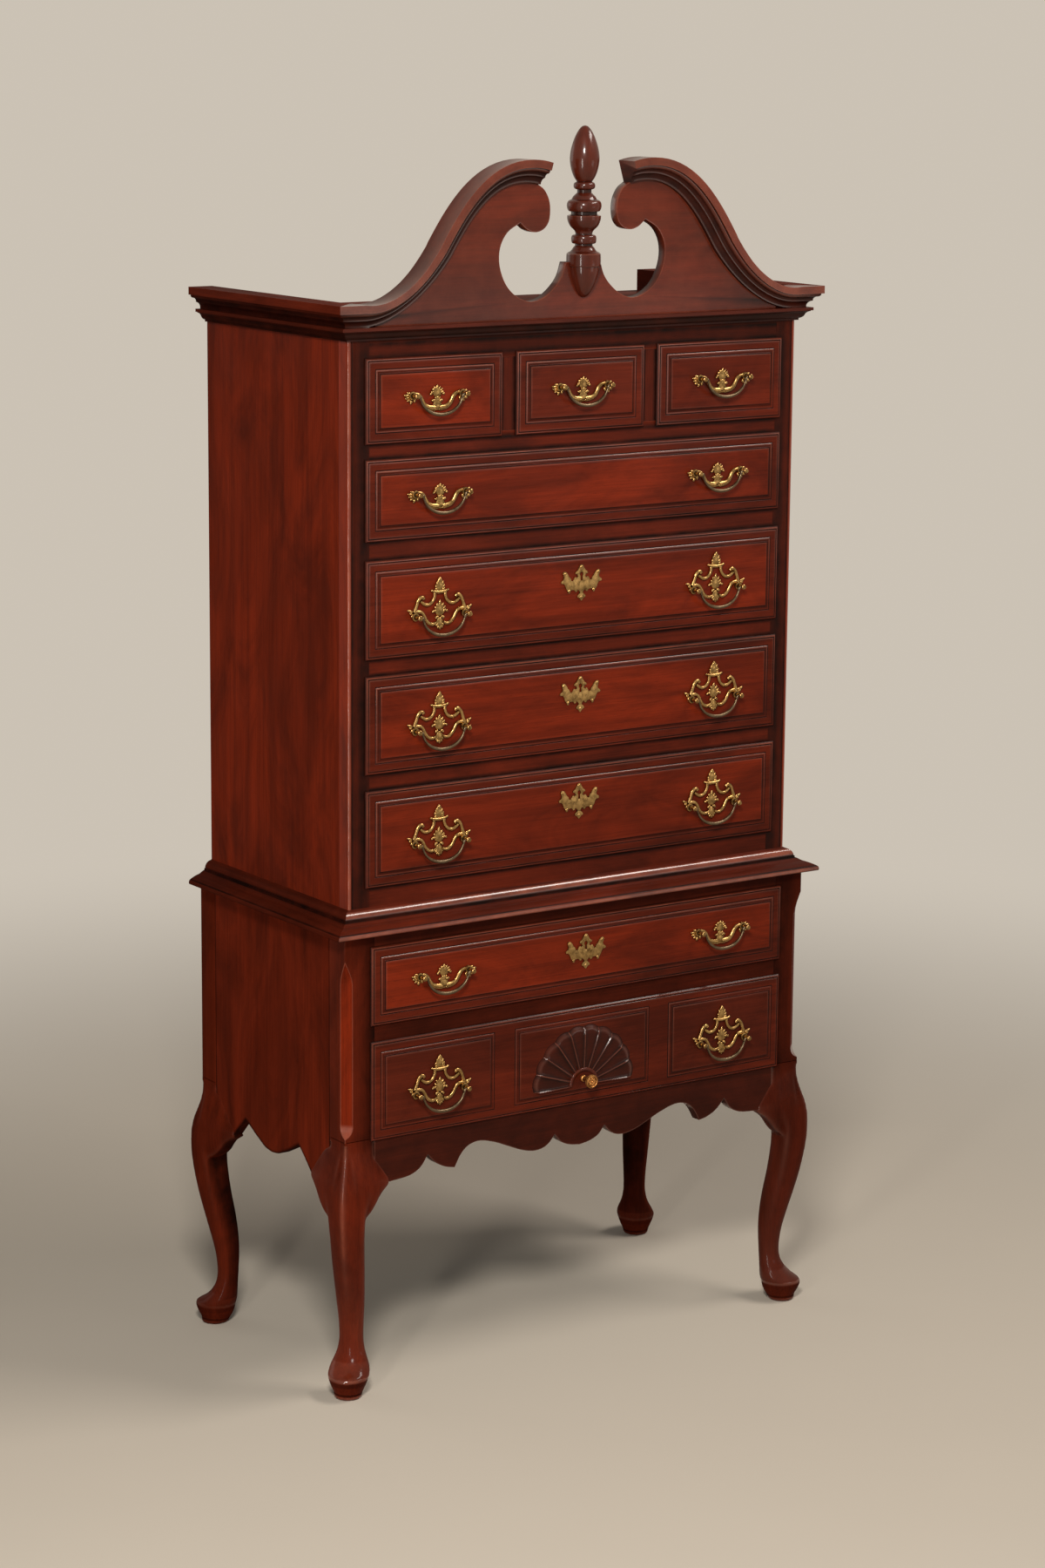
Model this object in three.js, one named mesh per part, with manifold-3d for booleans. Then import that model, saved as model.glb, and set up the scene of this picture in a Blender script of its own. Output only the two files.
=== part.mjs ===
// Highboy: a chest of seven drawer rows on a cabriole-legged stand, with a broken pediment.
// Millimetres, +Z up, +X to the viewer's right, the drawers open towards -Y, feet on z = 0.
import * as THREE from 'three';
import { mergeVertices } from 'three/addons/utils/BufferGeometryUtils.js';
import Module from 'manifold-3d';

const wasm = await Module();
wasm.setup();

// Overall sizes
const upperWidth = 900;
const upperDepth = 450;
const sideStep = 22; // the lower case is this much wider at each side
const frontStep = 25; // and its front stands this far ahead of the upper front

// Heights, from the floor up: lips of the drawer fronts and the bare wood between them
const underApron = 366;
const apronHeight = 76;
const lowerRowHeights = [169, 134];
const lowerRowGaps = [27];
const lowerTopRail = 21;
const upperBottomRail = 71;
const upperRowHeights = [162, 162, 162, 133, 138];
const upperRowGaps = [27, 27, 30, 24];
const upperTopRail = 32;

// Boards
const sideThickness = 18;
const boardThickness = 18;
const backThickness = 10;
const backInset = 2;
const frameThickness = 28;
const railThickness = 20;
const cornerRound = 7;

// Bare uprights beside the drawer lips
const upperStile = 31;
const lowerStile = 48;
const middleLipHalf = 129; // middle drawer of the top row
const topRowGap = 27;

// Drawer fronts
const lipLap = 9;
const lipProud = 8;
const lipEdge = 2.5;
const lipBevel = 4;
const lipGap = 0.4;
const frontInside = 12;
const rimWidth = 17;
const fieldRise = 2.5; // the raised fields stand this far ahead of the rim
const fieldStep = 0.6;
const fieldSlope = 10;
const fieldStile = 40; // flat upright between two fields of the bottom drawer
const middleFieldHalf = 130;

// Drawer boxes
const drawerGap = 0.8;
const boxWall = 12;
const boxFloor = 6;
const boxFloorRaise = 8;
const boxTopDrop = 12;
const boxRearGap = 8;
const guideHeight = 20;

// Bail pulls
const postPitch = 96;
const postRadius = 4.5;
const pivotProud = 16;
const postEnd = 5;
const boreRadius = 2.2;
const boreDepth = 4;
const pinRadius = 1.5;
const pinReach = 3;
const bailHalfWidth = 40;
const bailDrop = 31.5;
const bailMiddleRadius = 3;
const pullInset = 138; // from the end of a wide drawer's lip
const smallPullRise = 7; // post centres above the middle of the front
const largePullDrop = 15.5; // and below it on the deep drawers

// Knob: its height above the lip's lower edge, and its turned outline
const knobRise = 45;
const knobRadius = 12;
const knobReach = 30;
const knobShares = [
  [0, 0],
  [0.75, 0],
  [0.75, 0.1],
  [0.375, 0.2],
  [0.33, 0.5],
  [0.85, 0.74],
  [1, 0.84],
  [0.8, 0.97],
  [0, 1],
];

// Posts and legs
const postDepth = 48;
const cornerCut = 15;
const cutTopDrop = 39; // below the top of the lower case
const cutTopTaper = 42;
const cutBottomRise = 85; // above the apron's lower edge
const cutBottomTaper = 24;
const postBottomRise = 30;
const frontBracketReach = 87;
const sideBracketReach = 110;
const bracketDepth = 22;
const bracketBulge = 15;
const bracketFlare = 66;
const bracketHang = 58;

// Leg sections: height as a share of the room under the apron; outer and inner reach from
// the post corner along its diagonal and half width across it as shares of the post's depth;
// then how square the outer and inner halves are
const legShares = [
  [0, 0.0625, 0.875, 0.4583, 2, 2],
  [0.0055, 0.0938, 0.9167, 0.5, 2, 2],
  [0.0164, 0.0938, 0.9167, 0.5, 2, 2],
  [0.0219, 0.0625, 0.9583, 0.4896, 2, 2],
  [0.0546, 0.2083, 1.1042, 0.6042, 1.9, 2],
  [0.0902, 0.3125, 1.1667, 0.7083, 1.75, 2],
  [0.1066, 0.2708, 1.2083, 0.7396, 1.75, 2],
  [0.123, 0.0312, 1.2292, 0.7292, 1.85, 2],
  [0.1448, -0.1875, 1.2396, 0.6875, 2, 2],
  [0.1721, -0.3542, 1.25, 0.5938, 2, 2],
  [0.2104, -0.4896, 1.2708, 0.4896, 2, 2],
  [0.2678, -0.5312, 1.3021, 0.4271, 2, 2],
  [0.3579, -0.4479, 1.3333, 0.4479, 1.95, 2],
  [0.4508, -0.2604, 1.3021, 0.5, 1.8, 1.9],
  [0.5464, -0.0417, 1.2083, 0.5417, 1.6, 1.8],
  [0.6421, 0.1667, 1.0729, 0.5833, 1.4, 1.7],
  [0.7377, 0.3333, 0.9688, 0.6146, 1.25, 1.6],
  [0.8197, 0.4375, 0.9167, 0.6562, 1.15, 1.5],
  [0.888, 0.4792, 0.9583, 0.7083, 1.1, 1.3],
  [0.9563, 0.4583, 1.2083, 0.8229, 1.06, 1.15],
  [1.0164, 0.3646, 1.375, 0.8542, 1.04, 1.05],
  [1.071, 0.1979, 1.3854, 0.7917, 1.04, 1.05],
  [1.1257, 0.0625, 1.3854, 0.7229, 1.02, 1.05],
  [1.2022, -0.0208, 1.375, 0.6771, 1.02, 1.05],
];
const legPoints = 16;

// Knee bracket, from the leg to its tip: shares of the reach, bulge, flare and hang
const bracketShares = [
  [0.3, 1, 1, 1],
  [0.55, 0.85, 0.85, 0.74],
  [0.78, 0.5, 0.48, 0.3],
  [1, 0.08, 0.06, 0.06],
];

// Apron edges, from the middle out: shares of the half length and of the scallop height;
// each lobe meets the next in a cusp
const scallopHeight = 34;
const frontLobeShares = [
  [[0, 0.03], [0.048, 0.12], [0.092, 0.35], [0.125, 0.79]],
  [
    [0.125, 0.79], [0.164, 0.32], [0.217, 0.15], [0.282, 0.29], [0.349, 0.62],
    [0.417, 0.97], [0.489, 1.21], [0.545, 1.12], [0.5855, 0.735], [0.617, 0.09],
  ],
  [[0.617, 0.09], [0.66, 0.21], [0.706, 0.5], [0.747, 1]],
  [[0.747, 1], [0.781, 0.44], [0.834, 0.12], [0.928, 0]],
];
const frontLobeSteps = [6, 14, 5, 5];
const sideLobeShares = [
  [[0, 0.12], [0.117, 0.21], [0.223, 0.47], [0.34, 0.79], [0.467, 1.18]],
  [[0.467, 1.18], [0.573, 0.65], [0.69, 0]],
];
const sideLobeSteps = [8, 5];

// Mouldings: shares of how far each stands out and of its height
const waistReach = 46;
const waistHeight = 39;
const waistShares = [
  [0, 0],
  [0.9565, 0],
  [1, 0.09],
  [0.924, 0.218],
  [0.783, 0.32],
  [0.609, 0.397],
  [0.446, 0.5],
  [0.304, 0.564],
  [0.304, 0.641],
  [0.25, 0.769],
  [0.141, 0.897],
  [0, 1],
];
const ledgeReach = 22;
const ledgeHeight = 22;
const ledgeShares = [
  [0, 0],
  [0.182, 0],
  [0.182, 0.159],
  [0.364, 0.273],
  [0.5455, 0.5],
  [0.773, 0.7045],
  [1, 0.773],
  [1, 1],
  [0, 1],
];
const crownReach = 35;
const crownHeight = 37;
const crownBack = 10;
const crownShares = [
  [0.371, 0],
  [0.371, 0.081],
  [0.414, 0.189],
  [0.543, 0.297],
  [0.6, 0.311],
  [0.6, 0.378],
  [0.686, 0.4595],
  [0.829, 0.527],
  [0.886, 0.595],
  [0.886, 0.649],
  [1, 0.649],
  [1, 1],
];

// Pediment: its curves are shares of the width beyond the plinth and of the height
const pedimentHeight = 222;
const pedimentProud = 6;
const pedimentThickness = 18;
const plinthHalf = 34.5;
const openingShares = [
  [0, 0.41],
  [0.018, 0.311],
  [0.052, 0.23],
  [0.105, 0.158],
  [0.167, 0.131],
  [0.235, 0.176],
  [0.285, 0.266],
  [0.314, 0.401],
  [0.312, 0.532],
  [0.278, 0.64],
  [0.218, 0.707],
];
const voluteShares = [
  [0.218, 0.707],
  [0.1865, 0.658],
  [0.148, 0.635],
  [0.1095, 0.653],
  [0.084, 0.707],
  [0.077, 0.788],
  [0.083, 0.869],
  [0.105, 0.941],
  [0.136, 0.982],
];
const crownCurveShares = [
  [[0.136, 0.982], [0.165, 0.998], [0.1866, 1], [0.2106, 1]],
  [[0.2106, 1], [0.3646, 1], [0.461, 0.752], [0.5475, 0.4955]],
  [[0.5475, 0.4955], [0.6366, 0.2658], [0.8026, 0], [0.9663, 0]],
];
const crownCurveSteps = [3, 9, 9];
const crownSlimShare = 0.18; // the moulding thins by this much in the middle of its lower sweep
const crownSlimShares = [0.08, 0.28, 0.53, 0.8, 0.97, 1, 0.92, 0.7, 0.35, 0];

// Finial: shares of its largest radius and of its height, from the drop up
const finialInset = 5.9; // the plinth is this much wider at each side
const finialHeight = 279;
const finialRise = 32.5;
const finialProud = 7; // its axis stands this far ahead of the upper front
const finialShares = [
  [0, 0],
  [0.21, 0.009],
  [0.4545, 0.041],
  [0.7, 0.091],
  [0.857, 0.145],
  [0.9, 0.181],
  [1, 0.192],
  [1, 0.253],
  [0.909, 0.2635],
  [0.7, 0.285],
  [0.507, 0.303],
  [0.507, 0.3135],
  [0.682, 0.321],
  [0.724, 0.3405],
  [0.682, 0.36],
  [0.4895, 0.371],
  [0.542, 0.389],
  [0.804, 0.4175],
  [0.9615, 0.4535],
  [0.9755, 0.4785],
  [0.752, 0.4875],
  [0.752, 0.5],
  [0.944, 0.511],
  [1, 0.5375],
  [0.909, 0.561],
  [0.724, 0.575],
  [0.612, 0.593],
  [0.4125, 0.611],
  [0.437, 0.629],
  [0.594, 0.6435],
  [0.601, 0.661],
  [0.437, 0.679],
  [0.682, 0.722],
  [0.832, 0.769],
  [0.85, 0.812],
  [0.769, 0.869],
  [0.594, 0.9265],
  [0.35, 0.973],
  [0.175, 0.993],
  [0, 1],
];
const finialFacets = 16;

// Shared values
const overrun = 2; // how far a cutting body passes the surface that it cuts
const postFacets = 8;
const boreFacets = 6;
const knobFacets = 16;
const bailFacets = 6;
const bailSteps = 14;
const colours = {
  cherry: 0x5a1a12,
  field: 0x6e2416,
  poplar: 0xb08a5c,
  brass: 0x9a7338,
};

// Places that follow from the sizes; rows run from the bottom up
const upperHalf = upperWidth / 2;
const lowerHalf = upperHalf + sideStep;
const lowerFront = -frontStep;
const lowerRows = stackRows(underApron + apronHeight, lowerRowHeights, lowerRowGaps);
const lowerTop = lowerRows[lowerRows.length - 1].top + lowerTopRail;
const upperRows = stackRows(lowerTop + upperBottomRail, upperRowHeights, upperRowGaps);
const topRow = upperRows[upperRows.length - 1];
const upperTop = topRow.top + upperTopRail;
const topBoardTop = upperTop + boardThickness;
const backFront = upperDepth - backInset - backThickness;
const upperLipHalf = upperHalf - upperStile;
const lowerLipHalf = lowerHalf - lowerStile;
const upperOpeningHalf = upperLipHalf - lipLap;
const lowerOpeningHalf = lowerLipHalf - lipLap;
const middleOpeningHalf = middleLipHalf - lipLap;
const sideLipStart = middleLipHalf + topRowGap;
const sideOpeningStart = sideLipStart + lipLap;
const postRear = lowerFront + postDepth;
const rearPostFront = upperDepth - postDepth;
const sideInner = lowerHalf - sideThickness;
const sideMiddle = (lowerFront + upperDepth) / 2;
const sideHalf = (rearPostFront - postRear) / 2;
const upperInner = upperHalf - sideThickness;
const plinthTop = topBoardTop + pedimentHeight * openingShares[0][1];
const finialRadius = plinthHalf - finialInset;
const finialBottom = topBoardTop + finialRise;

function stackRows(start, heights, gaps) {
  let bottom = start;
  return heights.map((height, index) => {
    const row = { bottom, top: bottom + height };
    bottom = row.top + (gaps[index] ?? 0);
    return row;
  });
}

// Solids
function toSolid(geometry) {
  const bare = geometry.clone();
  bare.deleteAttribute('normal');
  bare.deleteAttribute('uv');
  const merged = mergeVertices(bare);
  const vertProperties = new Float32Array(merged.attributes.position.array);
  const triVerts = new Uint32Array(merged.index.array);
  return new wasm.Manifold(new wasm.Mesh({ numProp: 3, vertProperties, triVerts }));
}

function toGeometry(solid) {
  const mesh = solid.getMesh();
  const geometry = new THREE.BufferGeometry();
  geometry.setAttribute('position', new THREE.BufferAttribute(mesh.vertProperties, 3));
  geometry.setIndex(new THREE.BufferAttribute(mesh.triVerts, 1));
  geometry.computeVertexNormals();
  return geometry;
}

function join(geometries) {
  return toGeometry(geometries.map(toSolid).reduce((whole, next) => whole.add(next)));
}

function cut(geometry, cutters) {
  const start = toSolid(geometry);
  return toGeometry(cutters.map(toSolid).reduce((whole, next) => whole.subtract(next), start));
}

function box(x0, x1, y0, y1, z0, z1) {
  const geometry = new THREE.BoxGeometry(x1 - x0, y1 - y0, z1 - z0);
  geometry.translate((x0 + x1) / 2, (y0 + y1) / 2, (z0 + z1) / 2);
  return geometry;
}

// A closed body through rings of equal count; the caps follow the first and last outline
function loft(rings, firstOutline, lastOutline) {
  const count = rings[0].length;
  const index = [];
  for (let ring = 0; ring < rings.length - 1; ring += 1) {
    for (let point = 0; point < count; point += 1) {
      const next = (point + 1) % count;
      const a = ring * count + point;
      const b = ring * count + next;
      const c = (ring + 1) * count + next;
      const d = (ring + 1) * count + point;
      index.push(a, b, c, a, c, d);
    }
  }
  const lastStart = (rings.length - 1) * count;
  capFaces(firstOutline).forEach(([a, b, c]) => index.push(c, b, a));
  capFaces(lastOutline ?? firstOutline).forEach(([a, b, c]) => {
    index.push(lastStart + a, lastStart + b, lastStart + c);
  });
  const geometry = new THREE.BufferGeometry().setFromPoints(rings.flat());
  geometry.setIndex(index);
  turnOutward(geometry);
  geometry.computeVertexNormals();
  return geometry;
}

// Cap triangles that run the same way round as their outline
function capFaces(outline) {
  const direction = Math.sign(THREE.ShapeUtils.area(outline));
  return THREE.ShapeUtils.triangulateShape(outline, []).map(([a, b, c]) => {
    const area = THREE.ShapeUtils.area([outline[a], outline[b], outline[c]]);
    return Math.sign(area) === direction ? [a, b, c] : [c, b, a];
  });
}

function turnOutward(geometry) {
  const index = geometry.index.array;
  const corner = [new THREE.Vector3(), new THREE.Vector3(), new THREE.Vector3()];
  let volume = 0;
  for (let face = 0; face < index.length; face += 3) {
    corner.forEach((point, side) => {
      point.fromBufferAttribute(geometry.attributes.position, index[face + side]);
    });
    volume += corner[0].dot(corner[1].cross(corner[2]));
  }
  if (volume < 0) {
    for (let face = 0; face < index.length; face += 3) {
      [index[face], index[face + 2]] = [index[face + 2], index[face]];
    }
  }
}

// An outline in the front plane, carried from one depth to another
function frontSlab(outline, y0, y1) {
  const ringAt = (y) => outline.map((point) => new THREE.Vector3(point.x, y, point.y));
  return loft([ringAt(y0), ringAt(y1)], outline);
}

// An outline in the side plane, carried from one x to another
function sideSlab(outline, x0, x1) {
  const ringAt = (x) => outline.map((point) => new THREE.Vector3(x, point.x, point.y));
  return loft([ringAt(x0), ringAt(x1)], outline);
}

// A smooth run through the given points, ends included
function smooth(points, steps) {
  return new THREE.SplineCurve(points).getPoints(steps);
}

// Smooth runs joined end to end, from tables of shares of a length and of a height
function smoothRuns(tables, steps, length, height, base) {
  return tables.flatMap((table, run) => {
    const points = table.map(([along, up]) => new THREE.Vector2(along * length, base + up * height));
    return smooth(points, steps[run]).slice(run === 0 ? 0 : 1);
  });
}

function mirrorHalf(half) {
  const mirrored = half.map((point) => new THREE.Vector2(-point.x, point.y)).reverse();
  return [...mirrored, ...half.filter((point) => point.x > 0)];
}

// Rectangles of growing inset, from back to front
function steppedPanel(x0, x1, z0, z1, steps) {
  const outline = (inset) => [
    new THREE.Vector2(x0 + inset, z0 + inset),
    new THREE.Vector2(x1 - inset, z0 + inset),
    new THREE.Vector2(x1 - inset, z1 - inset),
    new THREE.Vector2(x0 + inset, z1 - inset),
  ];
  const ringAt = ({ inset, y }) => outline(inset).map((p) => new THREE.Vector3(p.x, y, p.y));
  return loft(steps.map(ringAt), outline(0));
}

function sectionPoints(shares, reach, height) {
  return shares.map(([out, up]) => new THREE.Vector2(out * reach, up * height));
}

// A moulding that wraps round the front and both sides of the upper case
function wrapMoulding(outline, baseZ) {
  const ringAt = (side, atRear) => outline.map((point) => {
    const y = atRear ? upperDepth : -point.x;
    return new THREE.Vector3(side * (upperHalf + point.x), y, baseZ + point.y);
  });
  return loft([ringAt(-1, true), ringAt(-1, false), ringAt(1, false), ringAt(1, true)], outline);
}

// The model
const highboy = new THREE.Group();

function addPiece(name, geometry, colour, roughness, metalness = 0) {
  const material = new THREE.MeshStandardMaterial({ color: colour, roughness, metalness });
  const mesh = new THREE.Mesh(geometry, material);
  mesh.name = name;
  highboy.add(mesh);
}

function addWood(name, geometry) {
  addPiece(name, geometry, colours.cherry, 0.35);
}

function addInnerWood(name, geometry) {
  addPiece(name, geometry, colours.poplar, 0.7);
}

function addBrass(name, geometry) {
  addPiece(name, geometry, colours.brass, 0.3, 1);
}

// Upper case
function addUpperCase() {
  [-1, 1].forEach((side) => {
    const edges = [side * upperHalf, side * upperInner].sort((a, b) => a - b);
    const name = side < 0 ? 'upper_side_left' : 'upper_side_right';
    addWood(name, box(...edges, frameThickness, upperDepth, lowerTop, upperTop));
  });
  addWood('upper_face_frame', upperFaceFrame());
  const rear = upperDepth - backInset;
  addInnerWood('upper_back', box(-upperInner, upperInner, backFront, rear, lowerTop, upperTop));
  addWood('upper_top_board', box(-upperHalf, upperHalf, 0, upperDepth, upperTop, topBoardTop));
  upperRows.forEach((row, index) => {
    const name = index === 0 ? 'upper_bottom_board' : `upper_dust_board_${upperRows.length - index}`;
    addInnerWood(name, upperBoard(row.bottom + lipLap, row === topRow));
  });
}

// Corner stiles with rounded edges, rails between the rows and the top row's muntins
function upperFaceFrame() {
  const roundInset = cornerRound * (1 - Math.SQRT1_2);
  const pieces = [-1, 1].map((side) => {
    const outline = [
      new THREE.Vector2(side * upperOpeningHalf, 0),
      new THREE.Vector2(side * (upperHalf - cornerRound), 0),
      new THREE.Vector2(side * (upperHalf - roundInset), roundInset),
      new THREE.Vector2(side * upperHalf, cornerRound),
      new THREE.Vector2(side * upperHalf, frameThickness),
      new THREE.Vector2(side * upperOpeningHalf, frameThickness),
    ];
    const ringAt = (z) => outline.map((point) => new THREE.Vector3(point.x, point.y, z));
    return loft([ringAt(lowerTop), ringAt(upperTop)], outline);
  });
  const reach = upperOpeningHalf + overrun;
  const rail = (z0, z1) => pieces.push(box(-reach, reach, 0, frameThickness, z0, z1));
  rail(topRow.top - lipLap, upperTop);
  upperRows.forEach((row, index) => {
    const below = upperRows[index - 1];
    rail(below ? below.top - lipLap : lowerTop, row.bottom + lipLap);
  });
  [-1, 1].forEach((side) => {
    const edges = [side * middleOpeningHalf, side * sideOpeningStart].sort((a, b) => a - b);
    const low = topRow.bottom + lipLap - overrun;
    const high = topRow.top - lipLap + overrun;
    pieces.push(box(...edges, 0, frameThickness, low, high));
  });
  return join(pieces);
}

// A dust board with a guide along each side, and between the drawers of the top row
function upperBoard(topZ, betweenDrawers) {
  const low = topZ - boardThickness;
  const guideTop = topZ + guideHeight;
  const guideLow = topZ - overrun;
  const pieces = [box(-upperInner, upperInner, frameThickness, backFront, low, topZ)];
  const guide = (from, to) => [-1, 1].forEach((side) => {
    const edges = [side * from, side * to].sort((a, b) => a - b);
    pieces.push(box(...edges, frameThickness, backFront, guideLow, guideTop));
  });
  guide(upperOpeningHalf, upperInner);
  if (betweenDrawers) {
    guide(middleOpeningHalf, sideOpeningStart);
  }
  return join(pieces);
}

// Lower case
function addLowerCase() {
  [-1, 1].forEach((side) => {
    const name = side < 0 ? 'lower_side_left' : 'lower_side_right';
    addWood(name, lowerSide(side));
  });
  const rear = upperDepth - backInset;
  const [bottomRow, upRow] = lowerRows;
  const apronTop = bottomRow.bottom + lipLap;
  const half = lowerOpeningHalf;
  addInnerWood('lower_back', box(-half, half, backFront, rear, apronTop - boardThickness, lowerTop));
  const topRail = railPiece(upRow.top - lipLap, lowerTop);
  addWood('lower_top_frame', lowerBoard(lowerTop, topRail, false));
  const dividerTop = upRow.bottom + lipLap;
  const dividerRail = railPiece(bottomRow.top - lipLap, dividerTop);
  addWood('lower_drawer_divider', lowerBoard(dividerTop, dividerRail, true));
  addWood('lower_front_apron', lowerBoard(apronTop, frontApron(apronTop), true));
  const waist = sectionPoints(waistShares, waistReach, waistHeight);
  addWood('waist_moulding', wrapMoulding(waist, lowerTop));
}

function railPiece(z0, z1) {
  return box(-lowerOpeningHalf, lowerOpeningHalf, lowerFront, lowerFront + railThickness, z0, z1);
}

// A board behind its rail, notched round the four posts, with drawer guides on it
function lowerBoard(topZ, rail, withGuides) {
  const low = topZ - boardThickness;
  const railBack = lowerFront + railThickness - overrun;
  const pieces = [
    rail,
    box(-lowerOpeningHalf, lowerOpeningHalf, railBack, backFront, low, topZ),
    box(-sideInner, sideInner, postRear, rearPostFront, low, topZ),
  ];
  if (withGuides) {
    [-1, 1].forEach((side) => {
      const edges = [side * lowerOpeningHalf, side * sideInner].sort((a, b) => a - b);
      pieces.push(box(...edges, postRear, rearPostFront, topZ - overrun, topZ + guideHeight));
    });
  }
  return join(pieces);
}

function frontApron(topZ) {
  const half = [
    ...smoothRuns(frontLobeShares, frontLobeSteps, lowerOpeningHalf, scallopHeight, underApron),
    new THREE.Vector2(lowerOpeningHalf, underApron),
  ];
  const outline = [
    ...mirrorHalf(half),
    new THREE.Vector2(lowerOpeningHalf, topZ),
    new THREE.Vector2(-lowerOpeningHalf, topZ),
  ];
  return frontSlab(outline, lowerFront, lowerFront + railThickness);
}

function lowerSide(side) {
  const half = [
    ...smoothRuns(sideLobeShares, sideLobeSteps, sideHalf, scallopHeight, underApron),
    new THREE.Vector2(sideHalf, underApron),
  ];
  const outline = [
    ...mirrorHalf(half),
    new THREE.Vector2(sideHalf, lowerTop),
    new THREE.Vector2(-sideHalf, lowerTop),
  ].map((point) => new THREE.Vector2(point.x + sideMiddle, point.y));
  return sideSlab(outline, side * sideInner, side * lowerHalf);
}

// One leg with its post and two knee brackets; side and end are -1 or 1 along x and y
function legPiece(side, end) {
  const cornerX = side * lowerHalf;
  const cornerY = end < 0 ? lowerFront : upperDepth;
  const place = (inX, inY, z) => new THREE.Vector3(cornerX - side * inX, cornerY - end * inY, z);
  const pieces = [
    legShaft(place),
    postBody(place),
    kneeBracket(place, true, frontBracketReach),
    kneeBracket(place, false, sideBracketReach),
  ];
  const whole = join(pieces);
  return end < 0 ? cut(whole, [cornerCutter(place)]) : whole;
}

// The S-shaped shaft: rounded squares and rounds set on the diagonal of the corner
function legShaft(place) {
  const outlines = legShares.map(([, out, inn, half, outer, inner]) => {
    const middle = ((inn - out) / 2) * postDepth;
    const reach = ((inn + out) / 2) * postDepth;
    return Array.from({ length: legPoints }, (_, point) => {
      const turn = (point / legPoints) * Math.PI * 2;
      const power = 2 / (Math.cos(turn) < 0 ? outer : inner);
      const along = Math.sign(Math.cos(turn)) * Math.abs(Math.cos(turn)) ** power;
      const across = Math.sign(Math.sin(turn)) * Math.abs(Math.sin(turn)) ** power;
      return new THREE.Vector2(middle + reach * along, half * postDepth * across);
    });
  });
  const rings = outlines.map((outline, level) => outline.map((point) => {
    const inX = (point.x + point.y) * Math.SQRT1_2;
    const inY = (point.x - point.y) * Math.SQRT1_2;
    return place(inX, inY, legShares[level][0] * underApron);
  }));
  return loft(rings, outlines[0], outlines[outlines.length - 1]);
}

function postBody(place) {
  const postBottom = underApron + postBottomRise;
  const near = place(0, 0, postBottom);
  const far = place(lowerHalf - lowerOpeningHalf, postDepth, lowerTop);
  const [x0, x1] = [near.x, far.x].sort((a, b) => a - b);
  const [y0, y1] = [near.y, far.y].sort((a, b) => a - b);
  return box(x0, x1, y0, y1, postBottom, lowerTop);
}

// Hollow-ended chamfer down the outer corner of a front post
function cornerCutter(place) {
  const low = underApron + cutBottomRise;
  const high = lowerTop - cutTopDrop;
  const depths = [
    { z: low, share: 0 },
    { z: low + cutBottomTaper / 3, share: 0.7 },
    { z: low + cutBottomTaper, share: 1 },
    { z: high - cutTopTaper, share: 1 },
    { z: high - cutTopTaper / 2, share: 0.5 },
    { z: high, share: 0 },
  ];
  const sectionOf = (size) => [
    new THREE.Vector2(-overrun, -overrun),
    new THREE.Vector2(size + overrun, -overrun),
    new THREE.Vector2(-overrun, size + overrun),
  ];
  const rings = depths.map(({ z, share }) => {
    return sectionOf(cornerCut * share).map((point) => place(point.x, point.y, z));
  });
  return loft(rings, sectionOf(cornerCut));
}

// A carved ear that swells over the apron and fills the corner below it
function kneeBracket(place, alongX, reach) {
  const outlines = bracketShares.map(([, bulge, flare, hang]) => {
    const swell = bracketBulge * bulge;
    const high = underApron + bracketFlare * flare;
    const low = underApron - bracketHang * hang;
    return [
      new THREE.Vector2(0, high),
      new THREE.Vector2(-swell * 0.6, (high + underApron) / 2),
      new THREE.Vector2(-swell, underApron),
      new THREE.Vector2(-swell, (underApron + low) / 2),
      new THREE.Vector2(-swell * 0.7, low),
      new THREE.Vector2(bracketDepth, low),
      new THREE.Vector2(bracketDepth, underApron),
      new THREE.Vector2(0, underApron),
    ];
  });
  const rings = outlines.map((outline, station) => outline.map((point) => {
    const along = reach * bracketShares[station][0];
    return alongX ? place(along, point.x, point.y) : place(point.x, along, point.y);
  }));
  return loft(rings, outlines[0], outlines[outlines.length - 1]);
}

function addLegs() {
  addWood('leg_front_left', legPiece(-1, -1));
  addWood('leg_front_right', legPiece(1, -1));
  addWood('leg_rear_left', legPiece(-1, 1));
  addWood('leg_rear_right', legPiece(1, 1));
}

// Pediment
function scrollPoint([across, up]) {
  const x = plinthHalf + across * (upperHalf - plinthHalf);
  return new THREE.Vector2(x, topBoardTop + up * pedimentHeight);
}

// Places along the crown's lower edge, each with its outward direction and its share of the
// moulding's full height
function crownStations() {
  return crownCurveShares.flatMap((table, part) => {
    const curve = new THREE.CubicBezierCurve(...table.map(scrollPoint));
    const first = part === 0 ? 0 : 1;
    return Array.from({ length: crownCurveSteps[part] + 1 - first }, (_, index) => {
      const step = index + first;
      const share = step / crownCurveSteps[part];
      const tangent = curve.getTangent(share);
      const slim = part === crownCurveShares.length - 1 ? crownSlimShares[step] : 0;
      return {
        point: curve.getPoint(share),
        outward: new THREE.Vector2(-tangent.y, tangent.x),
        size: 1 - crownSlimShare * slim,
      };
    });
  });
}

function crownPiece(side) {
  const outline = [
    new THREE.Vector2(-crownBack, 0),
    ...sectionPoints(crownShares, crownReach, crownHeight),
    new THREE.Vector2(-crownBack, crownHeight),
  ];
  const alongFront = crownStations().map(({ point, outward, size }) => outline.map((place) => {
    const up = place.y * size;
    return new THREE.Vector3(side * (point.x + outward.x * up), -place.x, point.y + outward.y * up);
  }));
  const alongSide = (atRear) => outline.map((place) => {
    const y = atRear ? upperDepth : -place.x;
    return new THREE.Vector3(side * (upperHalf + place.x), y, topBoardTop + place.y);
  });
  return loft([...alongFront, alongSide(false), alongSide(true)], outline);
}

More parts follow.
